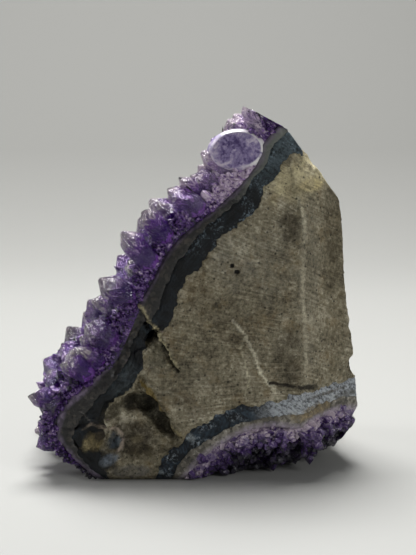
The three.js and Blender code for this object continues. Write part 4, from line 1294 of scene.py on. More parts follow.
@dataclass
class AmethystSlope:
    """The large points on the slope, and the crust of small ones between them."""

    seed: int = 11
    spacing: float = 8.9
    radius: tuple[float, float] = (4.2, 6.0)
    rise: tuple[float, float] = (6.6, 10.2)
    crust: float = 4.0
    edge_crust: float = 1.4
    start: float = 7.0
    end: float = 35.0
    lean: float = 0.7
    fan: float = 0.8
    fan_reach: float = 13.0
    corner_share: float = 0.72
    worn_edge: float = 0.35
    curve: LayerCurve = field(default_factory=lambda: LayerCurve(CRYSTAL_ROOT_LINE))

    def standing_point(
        self, place: Vector, outward: Vector, axis: Vector, radius: float, rise: float, draws: SeededDraws
    ) -> QuartzPoint:
        """Sets a point on the wall, with a root long enough for a leaning prism to clear it.

        Args:
            place: A place on the wall.
            outward: The wall's direction there.
            axis: The point's direction.
            radius: The prism's radius.
            rise: The prism's height over the crust.
            draws: The random numbers that the CAD source draws too.

        Returns:
            The point.
        """
        start = 0.4 * self.crust
        upright = axis.dot(outward)
        leaning = math.sqrt(max(0.0, 1 - upright * upright))
        root = max(self.crust - start, (0.5 - start + 1.15 * radius * leaning) / upright)
        spin = draws.next() * math.pi
        slants = draws.several(2)
        widths = (0.85 + 0.3 * draws.next(), 0.85 + 0.3 * draws.next())
        habit = list(Habit)[int(slants[0] * 3.999)]
        return QuartzPoint(
            foot=place + outward * start, axis=axis, radius=radius, root=root, rise=rise, spin=spin,
            widths=widths, habit=habit, tone=slants[1],
        )

    def large_points(self) -> list[QuartzPoint]:
        """Returns the large points, in the places that the CAD source gives them."""
        draws = SeededDraws(self.seed)
        length = self.curve.length
        reach = length - self.end - self.start
        rows = round(reach / self.spacing)
        points = []
        for row in range(rows + 1):
            level = self.curve.at((self.start + reach * row / rows) / length).z
            y = face_depth(level) + (0.42 + (0.42 if row % 2 else 0)) * self.spacing
            while y < back_depth(level):
                draw = draws.several(7)
                share = (self.start + reach * row / rows + (draw[0] - 0.5) * 0.5 * self.spacing) / length
                outward = self.curve.outward(share)
                place = self.curve.at(share)
                place.y = y + (draw[1] - 0.5) * 0.5 * self.spacing
                y += self.spacing
                place += SLOPE_NORMAL * float(layer_bend(*place))
                size = self.radius[0] + (self.radius[1] - self.radius[0]) * draw[2]
                if place.y > back_depth(place.z) - 0.6 * size:
                    continue
                near_front = max(0.0, 1 - (place.y - face_depth(place.z)) / self.fan_reach)
                tilt = Vector((draw[3] - 0.5, draw[4] - 0.5, draw[5] - 0.5)) * self.lean
                axis = (outward + Vector((0, -self.fan * near_front, 0)) + tilt).normalized()
                taper = 1 + (self.corner_share - 1) * float(smooth_step(0.55, 0.76, share))
                height = (self.rise[0] + (self.rise[1] - self.rise[0]) * draw[6]) * taper
                points.append(self.standing_point(place, outward, axis, size, height - size, draws))
        for extra in PLACED_POINTS:
            share = extra.along / length
            place = self.curve.at(share)
            place.y = face_depth(place.z) + extra.behind
            place += SLOPE_NORMAL * float(layer_bend(*place))
            axis = Vector(extra.axis).normalized()
            rise = extra.height - extra.radius
            points.append(self.standing_point(place, self.curve.outward(share), axis, extra.radius, rise, draws))
        return points

    def build(self, finish: ClearAmethyst) -> bpy.types.Object:
        """Joins the large points into one clear piece.

        Args:
            finish: The crystals' finish.

        Returns:
            The piece.
        """
        points = self.large_points()
        bodies, shells = [], []
        for number, point in enumerate(points):
            bm = point.grow(self.worn_edge)
            slice_off(bm, *TOP.plane)
            slice_off(bm, Vector((0, 0, 0.6)), Vector((0, 0, -1)))
            if PolishedWindow.is_near(point.foot + point.axis * point.length * 0.6):
                spot, normal = FRONT.plane
                slice_off(bm, spot - normal * 0.4, normal)
            shells.append(BVHTree.FromBMesh(bm))
            bodies.append(scene_body(f"point_{number}", bm))
        mesh = united(bodies)
        self.mark_growth(mesh, points, shells)
        return mesh_piece("amethyst_points", mesh, ["amethyst_crystals"], "amethyst", finish.material())

    def mark_growth(
        self, mesh: bpy.types.Mesh, points: Sequence[QuartzPoint], shells: Sequence[BVHTree]
    ) -> None:
        """Stores each crystal's tone, its height from root to tip and its mistiness at every corner.

        Args:
            mesh: The joined points.
            points: The points, one for each shell.
            shells: The points' own surfaces.
        """
        growth = mesh.attributes.new("growth", "FLOAT_COLOR", "CORNER")
        # The edge attribute marks the narrow faces of the worn edges, which the material darkens as painted shade
        edge = mesh.attributes.new("edge", "FLOAT", "FACE")
        centres = [p.foot + p.axis * 0.5 * p.length for p in points]
        for face in mesh.polygons:
            centre = face.center / MM
            round_it = sum((mesh.vertices[a].co - mesh.vertices[b].co).length for a, b in face.edge_keys) / MM
            edge.data[face.index].value = 1.0 if 2 * face.area / MM**2 < 0.8 * self.worn_edge * round_it else 0.0
            near = sorted(range(len(points)), key=lambda i: (centres[i] - centre).length)[:9]
            owner = min(near, key=lambda i: shells[i].find_nearest(centre)[3])
            point = points[owner]
            for loop in face.loop_indices:
                spot = mesh.vertices[mesh.loops[loop].vertex_index].co / MM
                height = (spot - point.foot).dot(point.axis) - point.root * 0.5
                share = min(max(height / max(point.length - point.root * 0.5, 1), 0), 1)
                growth.data[loop].color = (point.tone, share, (point.spin * 7.3) % 1, 1)


def united(bodies: list[bpy.types.Object]) -> bpy.types.Mesh:
    """Joins overlapping closed bodies into one closed mesh.

    Args:
        bodies: The bodies, which are removed.

    Returns:
        The joined mesh in metres.
    """
    first, *others = bodies
    group = bpy.data.collections.new("to join")
    bpy.context.scene.collection.children.link(group)
    for body in others:
        group.objects.link(body)
    join = first.modifiers.new("join", "BOOLEAN")
    join.operation = "UNION"
    join.operand_type = "COLLECTION"
    join.collection = group
    join.solver = "EXACT"
    mesh = evaluated_mesh(first)
    for body in others:
        bpy.data.objects.remove(body)
    bpy.data.collections.remove(group)
    return mesh


@dataclass
class PolishedWindow:
    """The lens of amethyst that was ground and polished flush with the front face."""

    CENTRE = (13.9, -14.6, 100.6)
    RADII = (9.3, 4.2, 7.0)
    TURN = -0.1
    MARGIN = 4.0
    RIM_WIDTH = 0.35

    @classmethod
    def is_near(cls, spot: Vector, margin: float = MARGIN) -> bool:
        """Tells whether a spot, seen along Y, lies on the window or the margin round it."""
        flat = Matrix.Rotation(-cls.TURN, 3, "Y") @ (spot - Vector(cls.CENTRE))
        return (flat.x / (cls.RADII[0] + margin)) ** 2 + (flat.z / (cls.RADII[2] + margin)) ** 2 < 1

    def build(self, finish: PolishedAmethyst) -> bpy.types.Object:
        """Returns the finished window."""
        bm = bmesh.new()
        bmesh.ops.create_icosphere(bm, subdivisions=5, radius=1)
        bmesh.ops.scale(bm, vec=self.RADII, verts=bm.verts)
        bmesh.ops.rotate(bm, matrix=Matrix.Rotation(self.TURN, 3, "Y"), verts=bm.verts)
        bmesh.ops.translate(bm, vec=self.CENTRE, verts=bm.verts)
        spot, normal = FRONT.plane
        slice_off(bm, spot + normal * 0.35, normal)
        bmesh.ops.recalc_face_normals(bm, faces=bm.faces)
        face = max(bm.faces, key=lambda f: f.calc_area())
        bmesh.ops.bevel(
            bm, geom=list(face.edges), offset=0.5, offset_type="OFFSET", segments=3, profile=0.5,
            affect="EDGES", material=-1, clamp_overlap=True,
        )
        face = max(bm.faces, key=lambda f: f.calc_area())
        bmesh.ops.inset_region(bm, faces=[face], thickness=self.RIM_WIDTH, use_even_offset=True)
        layer = bm.verts.layers.float.new("rim")
        inner = set(face.verts)
        for vert in bm.verts:
            vert[layer] = 0.0 if vert in inner else 1.0
        mesh = evaluated_mesh(scene_body("polished_window", bm))
        mesh.polygons.foreach_set("use_smooth", [True] * len(mesh.polygons))
        return mesh_piece("polished_window", mesh, ["amethyst_crystals"], "amethyst", finish.material())


@dataclass
class SmallPoints:
    """Small points that are strewn over a wall, made from a few patterns that are turned and scaled."""

    patterns: int = 8
    seed: int = 5

    def pattern_meshes(self) -> list[bpy.types.Mesh]:
        """Returns the patterns: points of radius 1 along +Z, with their foot at the origin."""
        draws = SeededDraws(self.seed)
        made = []
        for number in range(self.patterns):
            point = QuartzPoint(
                foot=Vector(), axis=Vector((0, 0, 1)), radius=1, root=1.2, rise=draws.between(0.2, 1.4), spin=0,
                widths=(draws.between(0.8, 1.15), draws.between(0.8, 1.15)), habit=list(Habit)[number % 4],
            )
            bm = point.grow(0)
            mesh = bpy.data.meshes.new(f"pattern_{number}")
            bm.to_mesh(mesh)
            bm.free()
            made.append(mesh)
        return made

    def strewn(self, stands: Iterable[tuple[Vector, Vector, float, float]]) -> bpy.types.Mesh:
        """Makes a small point for each stand.

        Args:
            stands: Each point's foot, axis, radius and tone.

        Returns:
            The points' mesh, in millimetres.
        """
        patterns = self.pattern_meshes()
        draws = SeededDraws(self.seed + 1)
        bm = bmesh.new()
        layer = bm.verts.layers.float_color.new("growth")
        for number, (foot, axis, radius, tone) in enumerate(stands):
            before = len(bm.verts)
            bm.from_mesh(patterns[number % len(patterns)])
            bm.verts.ensure_lookup_table()
            fresh = bm.verts[before:]
            turn = axis.to_track_quat("Z", "Y").to_matrix().to_4x4() @ Matrix.Rotation(draws.next() * math.tau, 4, "Z")
            whole = Matrix.Translation(foot) @ turn @ Matrix.Scale(radius, 4)
            mist = draws.next()
            for vert in fresh:
                vert[layer] = (tone, min(max(vert.co.z / 3, 0), 1), mist, 1)
            bmesh.ops.transform(bm, matrix=whole, verts=fresh)
        for mesh in patterns:
            bpy.data.meshes.remove(mesh)
        strewn = bpy.data.meshes.new("strewn")
        bm.to_mesh(strewn)
        bm.free()
        return strewn


def crusted(bm: bmesh.types.BMesh, points: bpy.types.Mesh, name: str) -> bpy.types.Mesh:
    """Joins a crust's body and its strewn points into one mesh.

    Args:
        bm: The body, in millimetres, which is freed.
        points: The strewn points, in millimetres, which are removed.
        name: The mesh's name.

    Returns:
        The mesh in metres.
    """
    bm.from_mesh(points)
    bpy.data.meshes.remove(points)
    return evaluated_mesh(scene_body(name, bm))


def random_tilt(draws: SeededDraws, size: float) -> Vector:
    """Returns a random vector, each part up to half of size."""
    return Vector((draws.next() - 0.5, draws.next() - 0.5, draws.next() - 0.5)) * size


@dataclass
class RootCrust:
    """The crust of small points that the large ones stand in, between the quartz layer and the open air."""

    slope: AmethystSlope
    setback: float = 0.9
    cells: tuple[int, int] = (60, 16)
    ends: tuple[float, float] = (0.012, 0.9)
    seed: int = 23
    fill: tuple[int, int] = (30, 10)
    fine: tuple[int, int] = (60, 22)
    edge_grains: int = 1300
    lens_grains: int = 220

    def thickness(self, share: float) -> float:
        """Returns the crust's thickness along the outline: it thins where it turns under the corner."""
        return self.slope.crust + (self.slope.edge_crust - self.slope.crust) * float(smooth_step(0.74, 0.86, share))

    def size_share(self, share: float) -> float:
        """Returns how large the small points are along the outline, as a share of their full size."""
        return max(0.15, 1 - 1.25 * (1 - self.thickness(share) / self.slope.crust))

    def wall_place(self, share: float, across: float, lift: float) -> Vector:
        """Returns a place on the slope: share runs along the outline, across from front to back."""
        place = self.slope.curve.at(share)
        front, back = face_depth(place.z) + self.setback, back_depth(place.z) - 1.2
        place.y = front + (back - front) * across
        place += SLOPE_NORMAL * float(layer_bend(*place))
        return place + self.slope.curve.outward(share) * lift

    def slab(self) -> bmesh.types.BMesh:
        """Returns the crust's body: a sheet laid on the slope and thickened."""
        bm = bmesh.new()
        bmesh.ops.create_grid(bm, x_segments=self.cells[0], y_segments=self.cells[1], size=0.5)
        share, across = (bm.verts.layers.float.new(name) for name in ("share", "across"))
        growth = bm.verts.layers.float_color.new("growth")
        draws = SeededDraws(self.seed + 1)
        for vert in bm.verts:
            vert[share] = self.ends[0] + (self.ends[1] - self.ends[0]) * (vert.co.x + 0.5)
            vert[across] = vert.co.y + 0.5
        grown = bmesh.ops.extrude_face_region(bm, geom=list(bm.faces), use_keep_orig=True)
        raised = {v for v in grown["geom"] if isinstance(v, bmesh.types.BMVert)}
        for vert in bm.verts:
            lift = 0.75 * self.thickness(vert[share]) if vert in raised else -1.0
            vert.co = self.wall_place(vert[share], vert[across], lift)
            vert[growth] = (draws.next(), 0.2, draws.next(), 1)
        bmesh.ops.recalc_face_normals(bm, faces=bm.faces)
        return bm

    def stands(self) -> Iterable[tuple[Vector, Vector, float, float]]:
        """Yields foot, axis, radius and tone of the small points, over the slope and along its front edge."""
        draws = SeededDraws(self.seed)
        for (rows, columns), sizes, lean in ((self.fill, (1.5, 2.5), 0.8), (self.fine, (0.7, 1.5), 1.1)):
            for row in range(rows):
                for column in range(columns):
                    share = 0.02 + 0.87 * (row + draws.next()) / rows
                    across = (column + draws.next()) / columns
                    thick = self.thickness(share)
                    foot = self.wall_place(share, across, 0.42 * thick)
                    leaning = Vector((0, -0.7 * max(0.0, 1 - across * 4), 0)) + random_tilt(draws, lean)
                    axis = (self.slope.curve.outward(share) + leaning).normalized()
                    radius = draws.between(*sizes) * self.size_share(share)
                    foot += Vector((0, 0.6 * radius * max(0.0, 1 - across * 6), 0))
                    tone = draws.next()
                    if across > 0.25 or not PolishedWindow.is_near(foot + axis * 2 * radius, -0.2):
                        yield foot, axis, radius, tone
        for _ in range(self.edge_grains):
            share = draws.between(0.015, 0.89)
            lift = draws.between(0.1, self.thickness(share) + self.size_share(share))
            outward = self.slope.curve.outward(share)
            radius = draws.between(0.4, 1.15) * (0.45 + 0.55 * self.size_share(share))
            foot = self.wall_place(share, 0, lift) + Vector((0, 0.9 * radius, 0))
            axis = (outward * 0.6 + Vector((0, -1, 0.1)) + random_tilt(draws, 1.2)).normalized()
            tone = draws.next()
            if not PolishedWindow.is_near(foot, -0.7):
                yield foot, axis, radius, tone
        yield from self.lens_stands(draws)

    def lens_stands(self, draws: SeededDraws) -> Iterable[tuple[Vector, Vector, float, float]]:
        """Yields the small points that grow on the window's lens behind its polished face."""
        turn = Matrix.Rotation(PolishedWindow.TURN, 3, "Y")
        for _ in range(self.lens_grains):
            away = Vector((draws.between(-1, 1), draws.between(0.1, 1), draws.between(-1, 1))).normalized()
            radius, tone = draws.between(0.7, 1.5), 0.4 * draws.next()
            spot = turn @ Vector(r * part for r, part in zip(PolishedWindow.RADII, away))
            normal = (turn @ Vector(part / r for r, part in zip(PolishedWindow.RADII, away))).normalized()
            leaning = normal + Vector((0, 0.9, 0)) + random_tilt(draws, 0.6)
            if normal.y > 0.55:
                yield Vector(PolishedWindow.CENTRE) + spot - normal * 1.5 * radius, leaning.normalized(), radius, tone

    def build(self, finish: DrusyAmethyst) -> bpy.types.Object:
        """Returns the finished crust."""
        mesh = crusted(self.slab(), SmallPoints().strewn(self.stands()), "amethyst_druse")
        places = vertex_places(mesh)
        for spot, normal in (TOP.plane, (Vector((0, 0, 0.3)), Vector((0, 0, -1)))):
            above = np.maximum((places - np.array(spot)) @ np.array(normal), 0)
            places -= above[:, None] * np.array(normal)
        mesh.vertices.foreach_set("co", np.ascontiguousarray(places * MM, np.float32).ravel())
        return mesh_piece("amethyst_druse", mesh, ["amethyst_crystals"], "amethyst", finish.material())


@dataclass
class PocketDruse:
    """The small crystals of the pocket: the CAD crust with finer points strewn over it."""

    count: int = 1000
    seed: int = 41
    right_end: float = 50.0
    beyond_rim: float = 1.6

    def build(self, finish: DrusyAmethyst) -> bpy.types.Object:
        """Returns the finished druse."""
        bm = bmesh.new()
        bm.from_mesh(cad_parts["pocket_crystals"].data)
        bmesh.ops.remove_doubles(bm, verts=bm.verts, dist=1e-6)
        bmesh.ops.scale(bm, vec=(1 / MM, 1 / MM, 1 / MM), verts=bm.verts)
        bmesh.ops.triangulate(bm, faces=bm.faces)
        layer = bm.verts.layers.float_color.new("growth")
        draws = SeededDraws(self.seed)
        for vert in bm.verts:
            vert[layer] = (draws.next(), 0.5, 0.5, 1)
        faces = [f for f in bm.faces if f.normal.z < 0.55 and f.normal.y < 0.6]
        areas = np.cumsum([f.calc_area() for f in faces])
        stands = []
        for _ in range(self.count):
            face = faces[int(np.searchsorted(areas, draws.next() * areas[-1]))]
            a, b = sorted((draws.next(), draws.next()))
            spot = face.verts[0].co * a + face.verts[1].co * (b - a) + face.verts[2].co * (1 - b)
            axis = (face.normal + random_tilt(draws, 1.2)).normalized()
            radius = 0.5 + 1.3 * draws.next() ** 2
            tip, tone = spot + axis * 1.6 * radius, draws.next()
            # The druse ends in a worn edge on the right, which rises from the ground
            if tip.x < self.right_end and tip.z > 0.8 + 4.0 * float(smooth_step(38, self.right_end, tip.x)):
                stands.append((spot - face.normal * radius, axis, radius, tone))
        mesh = crusted(bm, SmallPoints(seed=9).strewn(stands), "pocket_druse")
        places = vertex_places(mesh)
        places[:, 2] = np.maximum(places[:, 2], 0.3)
        spot, normal = (np.array(part) for part in RIM.plane)
        over = np.maximum((places - spot) @ normal - self.beyond_rim, 0)
        places -= over[:, None] * normal
        mesh.vertices.foreach_set("co", np.ascontiguousarray(places * MM, np.float32).ravel())
        # The green channel grows with the distance from the rind: the crystals are palest by the rind, and painted
        # shade darkens them further down, towards the ground
        growth = mesh.attributes["growth"].data
        colours = np.empty(len(growth) * 4, np.float32)
        growth.foreach_get("color", colours)
        colours[1::4] = smooth_step(0.5, 9, nearest_on_line(places[:, (0, 2)], POCKET_CRYSTAL_LINE)[0])
        growth.foreach_set("color", colours)
        return mesh_piece("pocket_druse", mesh, ["pocket_crystals"], "pocket_amethyst", finish.material())


@dataclass
class Studio:
    """The pale sweep, the soft lights and the camera."""

    elevation: float = 12.0
    distance: float = 560.0
    aim: tuple[float, float, float] = (5.0, 0.0, 58.0)
    focal_pixels: float = 1750.0
    long_side: float = 555.0

    def camera(self) -> None:
        """Sets the camera at the photograph's viewing angle."""
        data = bpy.data.cameras.new("camera")
        view = bpy.data.objects.new("camera", data)
        bpy.context.scene.collection.objects.link(view)
        bpy.context.scene.camera = view
        low = math.radians(self.elevation)
        forward = Vector((0, math.cos(low), -math.sin(low)))
        view.location = (Vector(self.aim) - forward * self.distance) * MM
        view.rotation_euler = (math.pi / 2 - low, 0, 0)
        data.sensor_width = 36
        data.lens = self.focal_pixels / self.long_side * 36
        data.clip_start = 0.01

    def sweep(self) -> None:
        """Makes the floor that rises to a backdrop."""
        bm = bmesh.new()
        line = [Vector((-2500, -1800, 0)), Vector((-2500, 620, 0)), Vector((-2500, 760, 1600))]
        verts = [bm.verts.new(p) for p in line]
        edges = [bm.edges.new(pair) for pair in zip(verts, verts[1:])]
        grown = bmesh.ops.extrude_edge_only(bm, edges=edges)
        fresh = [g for g in grown["geom"] if isinstance(g, bmesh.types.BMVert)]
        bmesh.ops.translate(bm, vec=(5000, 0, 0), verts=fresh)
        corner = [e for e in bm.edges if all(abs(v.co.y - 620) < 1 for v in e.verts)]
        bmesh.ops.bevel(bm, geom=corner, offset=330, offset_type="OFFSET", segments=20, profile=0.5, affect="EDGES", material=-1)
        bmesh.ops.recalc_face_normals(bm, faces=bm.faces)
        floor = scene_body("studio_floor", bm)
        floor.data.polygons.foreach_set("use_smooth", [True] * len(floor.data.polygons))
        look, tree = new_material("matt paper")
        spot = add_node(tree, "SeparateXYZ", {}, {"Vector": place_in_mm(tree)})
        # Painted shading: the paper darkens from the front towards the back and is a little lighter on the backdrop,
        # for how the light falls over the sweep
        far = add_node(tree, "ValToRGB", {}, {"Fac": add_node(tree, "MapRange", {}, {"Value": spot.outputs[1], "From Min": -400, "From Max": 700})},
                       [(0.0, "#a6a6a3"), (0.42, "#989895"), (0.57, "#8e8e8b"), (0.77, "#747471"), (1.0, "#7c7c79")])
        fibre = add_node(tree, "TexNoise", {}, {"Vector": place_in_mm(tree), "Scale": 1 / 3, "Detail": 4})
        bump = add_node(tree, "Bump", {}, {"Height": fibre.outputs["Fac"], "Strength": 0.05, "Distance": 0.2 * MM})
        shader = add_node(tree, "BsdfPrincipled", {}, {"Base Color": far, "Roughness": 0.8, "Normal": bump, "Specular IOR Level": 0.2})
        close_material(tree, shader)
        floor.data.materials.append(look)

    def light(self, name: str, place: tuple[float, float, float], size: tuple[float, float], power: float) -> None:
        """Adds a soft box that looks at the object.

        Args:
            name: The light's name.
            place: Its centre, in millimetres.
            size: Its width and height, in millimetres.
            power: Its power in watts.
        """
        data = bpy.data.lights.new(name, "AREA")
        data.shape = "RECTANGLE"
        data.size, data.size_y = size[0] * MM, size[1] * MM
        data.energy = power
        lamp = bpy.data.objects.new(name, data)
        bpy.context.scene.collection.objects.link(lamp)
        lamp.location = Vector(place) * MM
        lamp.rotation_euler = (Vector((0, 0, 50)) - Vector(place)).to_track_quat("-Z", "Y").to_euler()

    def build(self) -> None:
        """Sets up the studio."""
        self.camera()
        self.sweep()
        world = bpy.data.worlds.new("studio")
        world.use_nodes = True
        world.node_tree.nodes["Background"].inputs["Color"].default_value = hex_colour("#e6e8ea")
        world.node_tree.nodes["Background"].inputs["Strength"].default_value = 0.2
        bpy.context.scene.world = world
        self.light("overhead", (-60, 250, 760), (440, 320), 14.5)
        self.light("left", (-700, 40, 420), (220, 520), 2.4)
        self.light("front", (640, -640, 520), (380, 380), 2.4)
        scene = bpy.context.scene
        scene.view_settings.view_transform = "Standard"
        scene.view_settings.look = "None"


# Patches of the front face, from the top down
BASALT_STAINS_AND_LIGHT = (
    # Painted light: these two pale patches on the top-right bevel stand in for the light that the bevel catches
    ColourPatch((33, 92), (13, 9), 20, "#cfc49c", 0.8),
    ColourPatch((36.7, 90), (4.4, 2.6), 0, "#e6d49a", 0.85),
    ColourPatch((30.1, 78.6), (3.0, 8), 0, "#4a4231", 0.6),
    # Painted light: a paler strip where the front turns into the right side, for the light that side catches
    ColourPatch((36, 62), (4.6, 38), 0, "#aaa38d", 0.5),
    ColourPatch((45, 55), (5.5, 34), 0, "#6f6448", 0.4),
    ColourPatch((12, 68), (9, 13), 20, "#868274", 0.45),
    ColourPatch((24, 66), (9, 16), 0, "#757163", 0.4),
    ColourPatch((30, 82), (4.5, 12), 0, "#4f4736", 0.4),
    ColourPatch((30, 38), (6.5, 12), 0, "#494131", 0.5),
    ColourPatch((3, 57), (6, 10), 10, "#5f4f33", 0.4),
    ColourPatch((13, 46), (8, 5), -25, "#5a4a30", 0.4),
    ColourPatch((44, 78), (4, 20), 0, "#4c422b", 0.5),
    ColourPatch((1, 33), (10, 6), 0, "#837d6a", 0.4),
    ColourPatch((-1, 24), (9, 5), -20, "#5a5140", 0.5),
)
CORNER_STAINS_AND_SHADING = (
    # Painted shade: the next two darkest patches lie in the hollow under the ledge, over its dark brown
    ColourPatch((-16.6, 23.2), (7.6, 3.0), 6, "#1b180f", 0.95),
    ColourPatch((-11, 19), (8.5, 3.4), -42, "#2a271d", 0.8),
    ColourPatch((-20, 13), (11, 7), 0, "#40382a", 0.85),
    ColourPatch((-25, 21), (6, 3), 38, "#4a4433", 0.8),
    ColourPatch((-15, 9), (6, 3), 0, "#4f4630", 0.7),
    ColourPatch((-17, 12.5), (2.2, 1.4), 0, "#7a7054", 0.7),
    # Painted light: a paler band along the bottom edge of the broken corner
    ColourPatch((-19, 3), (9, 2.6), 4, "#77736a", 0.85),
    ColourPatch((-10.5, 38), (5, 6), 0, "#6a6654", 0.6),
    ColourPatch((-29, 6.5), (7, 4), -12, "#171d22", 0.9),
    ColourPatch((-30.8, 12.2), (4.4, 3.4), 25, "#8d7f58", 0.9),
    ColourPatch((-28.4, 14.2), (2.4, 1.8), 0, "#3c3222", 0.85),
    ColourPatch((-32.7, 11.0), (1.5, 2.6), 0, "#b3a67c", 0.8),
    ColourPatch((-24.2, 12.3), (2.5, 3.4), 0, "#374553", 0.9),
    ColourPatch((-22.5, 12.3), (0.9, 1.9), 0, "#75828b", 0.7),
    ColourPatch((-25.4, 6.9), (3.8, 1.9), 20, "#8793a0", 0.75),
)
AGATE_STAINS_AND_SHADING = CORNER_STAINS_AND_SHADING + (ColourPatch((-20, 29), (8, 13), 38, "#4a5459", 0.75), ColourPatch((-14, 50), (4, 6), 20, "#4c5a64", 0.6))
POCKET_STAINS = (
    ColourPatch((37.5, 20.6), (7.0, 2.6), 8, "#b09c72", 0.7),
    ColourPatch((-0.3, 13.6), (2.1, 1.4), 0, "#b4c0c6", 0.85),
    ColourPatch((-10, 3.2), (2.6, 1.1), -30, "#7f898e", 0.8),
    ColourPatch((14, 22), (7, 1.6), -16, "#4f6273", 0.5),
    ColourPatch((42, 25), (8, 0.7), 3, "#54482f", 0.7),
    ColourPatch((48, 23), (6, 1.2), 0, "#4d4938", 0.6),
)
CORNER_BROKEN = (
    Patch((-17, 14), (12, 9), 10),
    Patch((-11, 22), (10, 5), -40),
    Patch((-27, 12), (7, 7), 0),
)
CORNER_DENTS = (
    Dent((-16.6, 23.4), (7.2, 3.6), 8, 2.3),
    Dent((-10.5, 18.5), (7.5, 3.4), -42, 2.1),
    Dent((-30.4, 12.6), (4.0, 3.4), 10, -1.1),
    Dent((-25.5, 10), (3.4, 4.4), 0, 1.2),
    Dent((-24, 18.5), (4, 2), 35, -0.8),
    Dent((-12, 44.6), (5.5, 1.5), 58, 1.5),
    Dent((51.5, 31.0), (3.0, 3.4), 0, 1.6),
    Dent((51.0, 44.0), (1.8, 2.6), 0, 1.0),
)
BASALT_SEAMS = (
    Seam(((12.7, 49.5), (16.4, 45.1), (18.5, 40.6), (21.6, 32.9), (25.7, 27.7)), 0.8, "#efe8cc", 0.5, 0.85),
    Seam(((16.4, 45.1), (15.0, 41), (17.9, 31.3), (16.4, 26.7)), 0.6, "#e0d8b8", 0.3, 0.6),
    # Painted highlight: the next two pale lines run down the ridge between the front and the right side
    Seam(((32.4, 87), (34.4, 81), (34.8, 73)), 0.9, "#e3dcc0", 0.0, 0.5),
    Seam(((34.3, 70), (34.1, 60), (34.8, 46), (35.3, 31.3)), 0.7, "#e3dcc0", 0.0, 0.34),
    Seam(((24.1, 30.4), (30.3, 29.5), (38.9, 27.7)), 0.9, "#221c13", -0.5),
    Seam(((-16.0, 34.4), (-12.9, 29.8), (-9.8, 27.7), (-6.1, 27.7), (-2.7, 25.2)), 0.7, "#b5ae96", 0.3, 0.75),
    Seam(((-15.4, 29.8), (-12.9, 28.3), (-11.4, 25.2), (-9.8, 21.5)), 1.2, "#a38d50", 0.5, 0.9),
    Seam(((-9.8, 21.5), (-8.3, 19.0), (-5.6, 16.2), (-3.0, 14.1)), 0.8, "#b5a77c", 0.6, 0.85),
    Seam(((-25.3, 15.9), (-23.0, 15.1), (-21.3, 13.8), (-21.6, 11.0), (-23.1, 9.2)), 0.6, "#b3a494", 0.5, 0.8),
)
CRACK_SEAMS = (
    # Painted shadow: this black line, sunk below and left of the pale vein, is the shadow under its ledge
    Seam(((-14.4, 48.0), (-12.4, 44.9), (-10.2, 43.3), (-8.6, 41.4), (-6.4, 37.0), (-4.2, 33.9)), 0.8, "#0d0b08", -1.2),
    Seam(((-15.6, 54.0), (-12.5, 49.1), (-9.8, 45.1), (-6.7, 39.0), (-4.0, 34.6)), 0.65, "#d8cda4", 0.6, 0.95),
    Seam(((-33.8, 16.0), (-31.4, 17.7), (-28.4, 17.1), (-26.5, 16.2)), 0.6, "#8f8272", 0.6, 0.7),
    Seam(((-34.7, 21.8), (-33.0, 20.6), (-31.4, 19.0)), 0.5, "#7b7874", 0.3, 0.8),
    Seam(((-40.0, 16.6), (-36.0, 16.2), (-33.5, 18.6)), 0.45, "#0a0a09", -0.5, 0.9),
    Seam(((-36.5, 12.5), (-34.0, 9.0), (-31.0, 6.0)), 0.45, "#0a0a09", -0.5, 0.9),
)
EDGE_WEAR = 2.6
# Pits sunk into the front, which the basalt paints near-black as the shade inside them
PITS = ((12.4, 66.2, 0.8), (13.9, 64.4, 0.9))


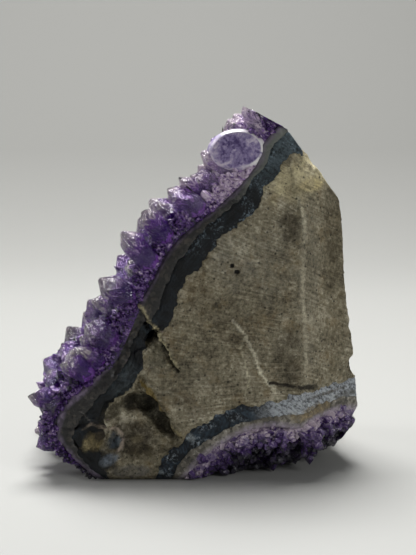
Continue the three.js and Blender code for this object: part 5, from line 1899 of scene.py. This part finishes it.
def stone_layers() -> list[StoneLayer]:
    """Returns the layers of the stone, from the basalt to the pocket's lining."""
    dark_agate = BandedAgate("dark chalcedony", "#030507", "#161e24", "#4d5a60", "#8495a0", (84, 102), along=2, flecks_above=66)
    pocket_agate = BandedAgate("pocket chalcedony", "#080d12", "#2c3a46", "#b9bec2", "#a9b4bd", (17, 29), along=0, flecks_above=-20)
    grey_quartz = GranularQuartz(
        "grey granular quartz", ("#070707", "#1c1a18", "#4a443c"), "#686c66", (84, 102), "#75687f", 1.5,
    )
    rind = GranularQuartz(
        "tan granular quartz", ("#26241f", "#645f54", "#a8a398"), "#8a8674", (60, 90), "#aba0b0", 1.7,
    )
    slope = {"stains_and_shading": CORNER_STAINS_AND_SHADING, "dents": CORNER_DENTS, "seams": CRACK_SEAMS, "broken": CORNER_BROKEN}
    return [
        StoneLayer(
            "basalt_matrix", "basalt", "basalt", 0.2, 0.62, SawnBasalt().material, lump=0.9, facet=1.5,
            stains_and_shading=BASALT_STAINS_AND_LIGHT + CORNER_STAINS_AND_SHADING, dents=CORNER_DENTS, seams=BASALT_SEAMS + CRACK_SEAMS,
            broken=CORNER_BROKEN, pits=PITS,
        ),
        StoneLayer("blue_agate_band", "blue_agate", "dark_agate", 0.2, 0.5, dark_agate.material, **{**slope, "stains_and_shading": AGATE_STAINS_AND_SHADING}),
        StoneLayer("grey_quartz_layer", "grey_quartz", "grey_quartz", 0.2, 0.5, grey_quartz.material, **slope),
        StoneLayer("pocket_agate_band", "pocket_agate", "pocket_agate", 0.2, 0.5, pocket_agate.material, stains_and_shading=POCKET_STAINS),
        StoneLayer("pocket_quartz_layer", "pocket_quartz", "pocket_rind", 0.2, 0.5, rind.material, stains_and_shading=POCKET_STAINS),
    ]


def main() -> None:
    """Builds every piece in order and reports it."""
    logging.basicConfig(level=logging.INFO, format="%(name)s %(message)s")
    Studio().build()
    for layer in stone_layers():
        layer.build()
    slope = AmethystSlope()
    slope.build(ClearAmethyst())
    PolishedWindow().build(PolishedAmethyst())
    RootCrust(slope).build(
        DrusyAmethyst(
            "drusy amethyst", ("#08060c", "#190f26", "#371f58", "#5c3a84", "#8f70aa", "#dfcbe2"),
            palest_at=94, shaded_below=2,
        )
    )
    PocketDruse().build(
        DrusyAmethyst(
            "pocket amethyst", ("#322f3b", "#342944", "#3c2759", "#5b4180", "#927fa2", "#dccbd9"), 0.3, 0.7,
            by_grain=0.5, by_streak=0.4,
        )
    )


if __name__ == "__main__":
    main()
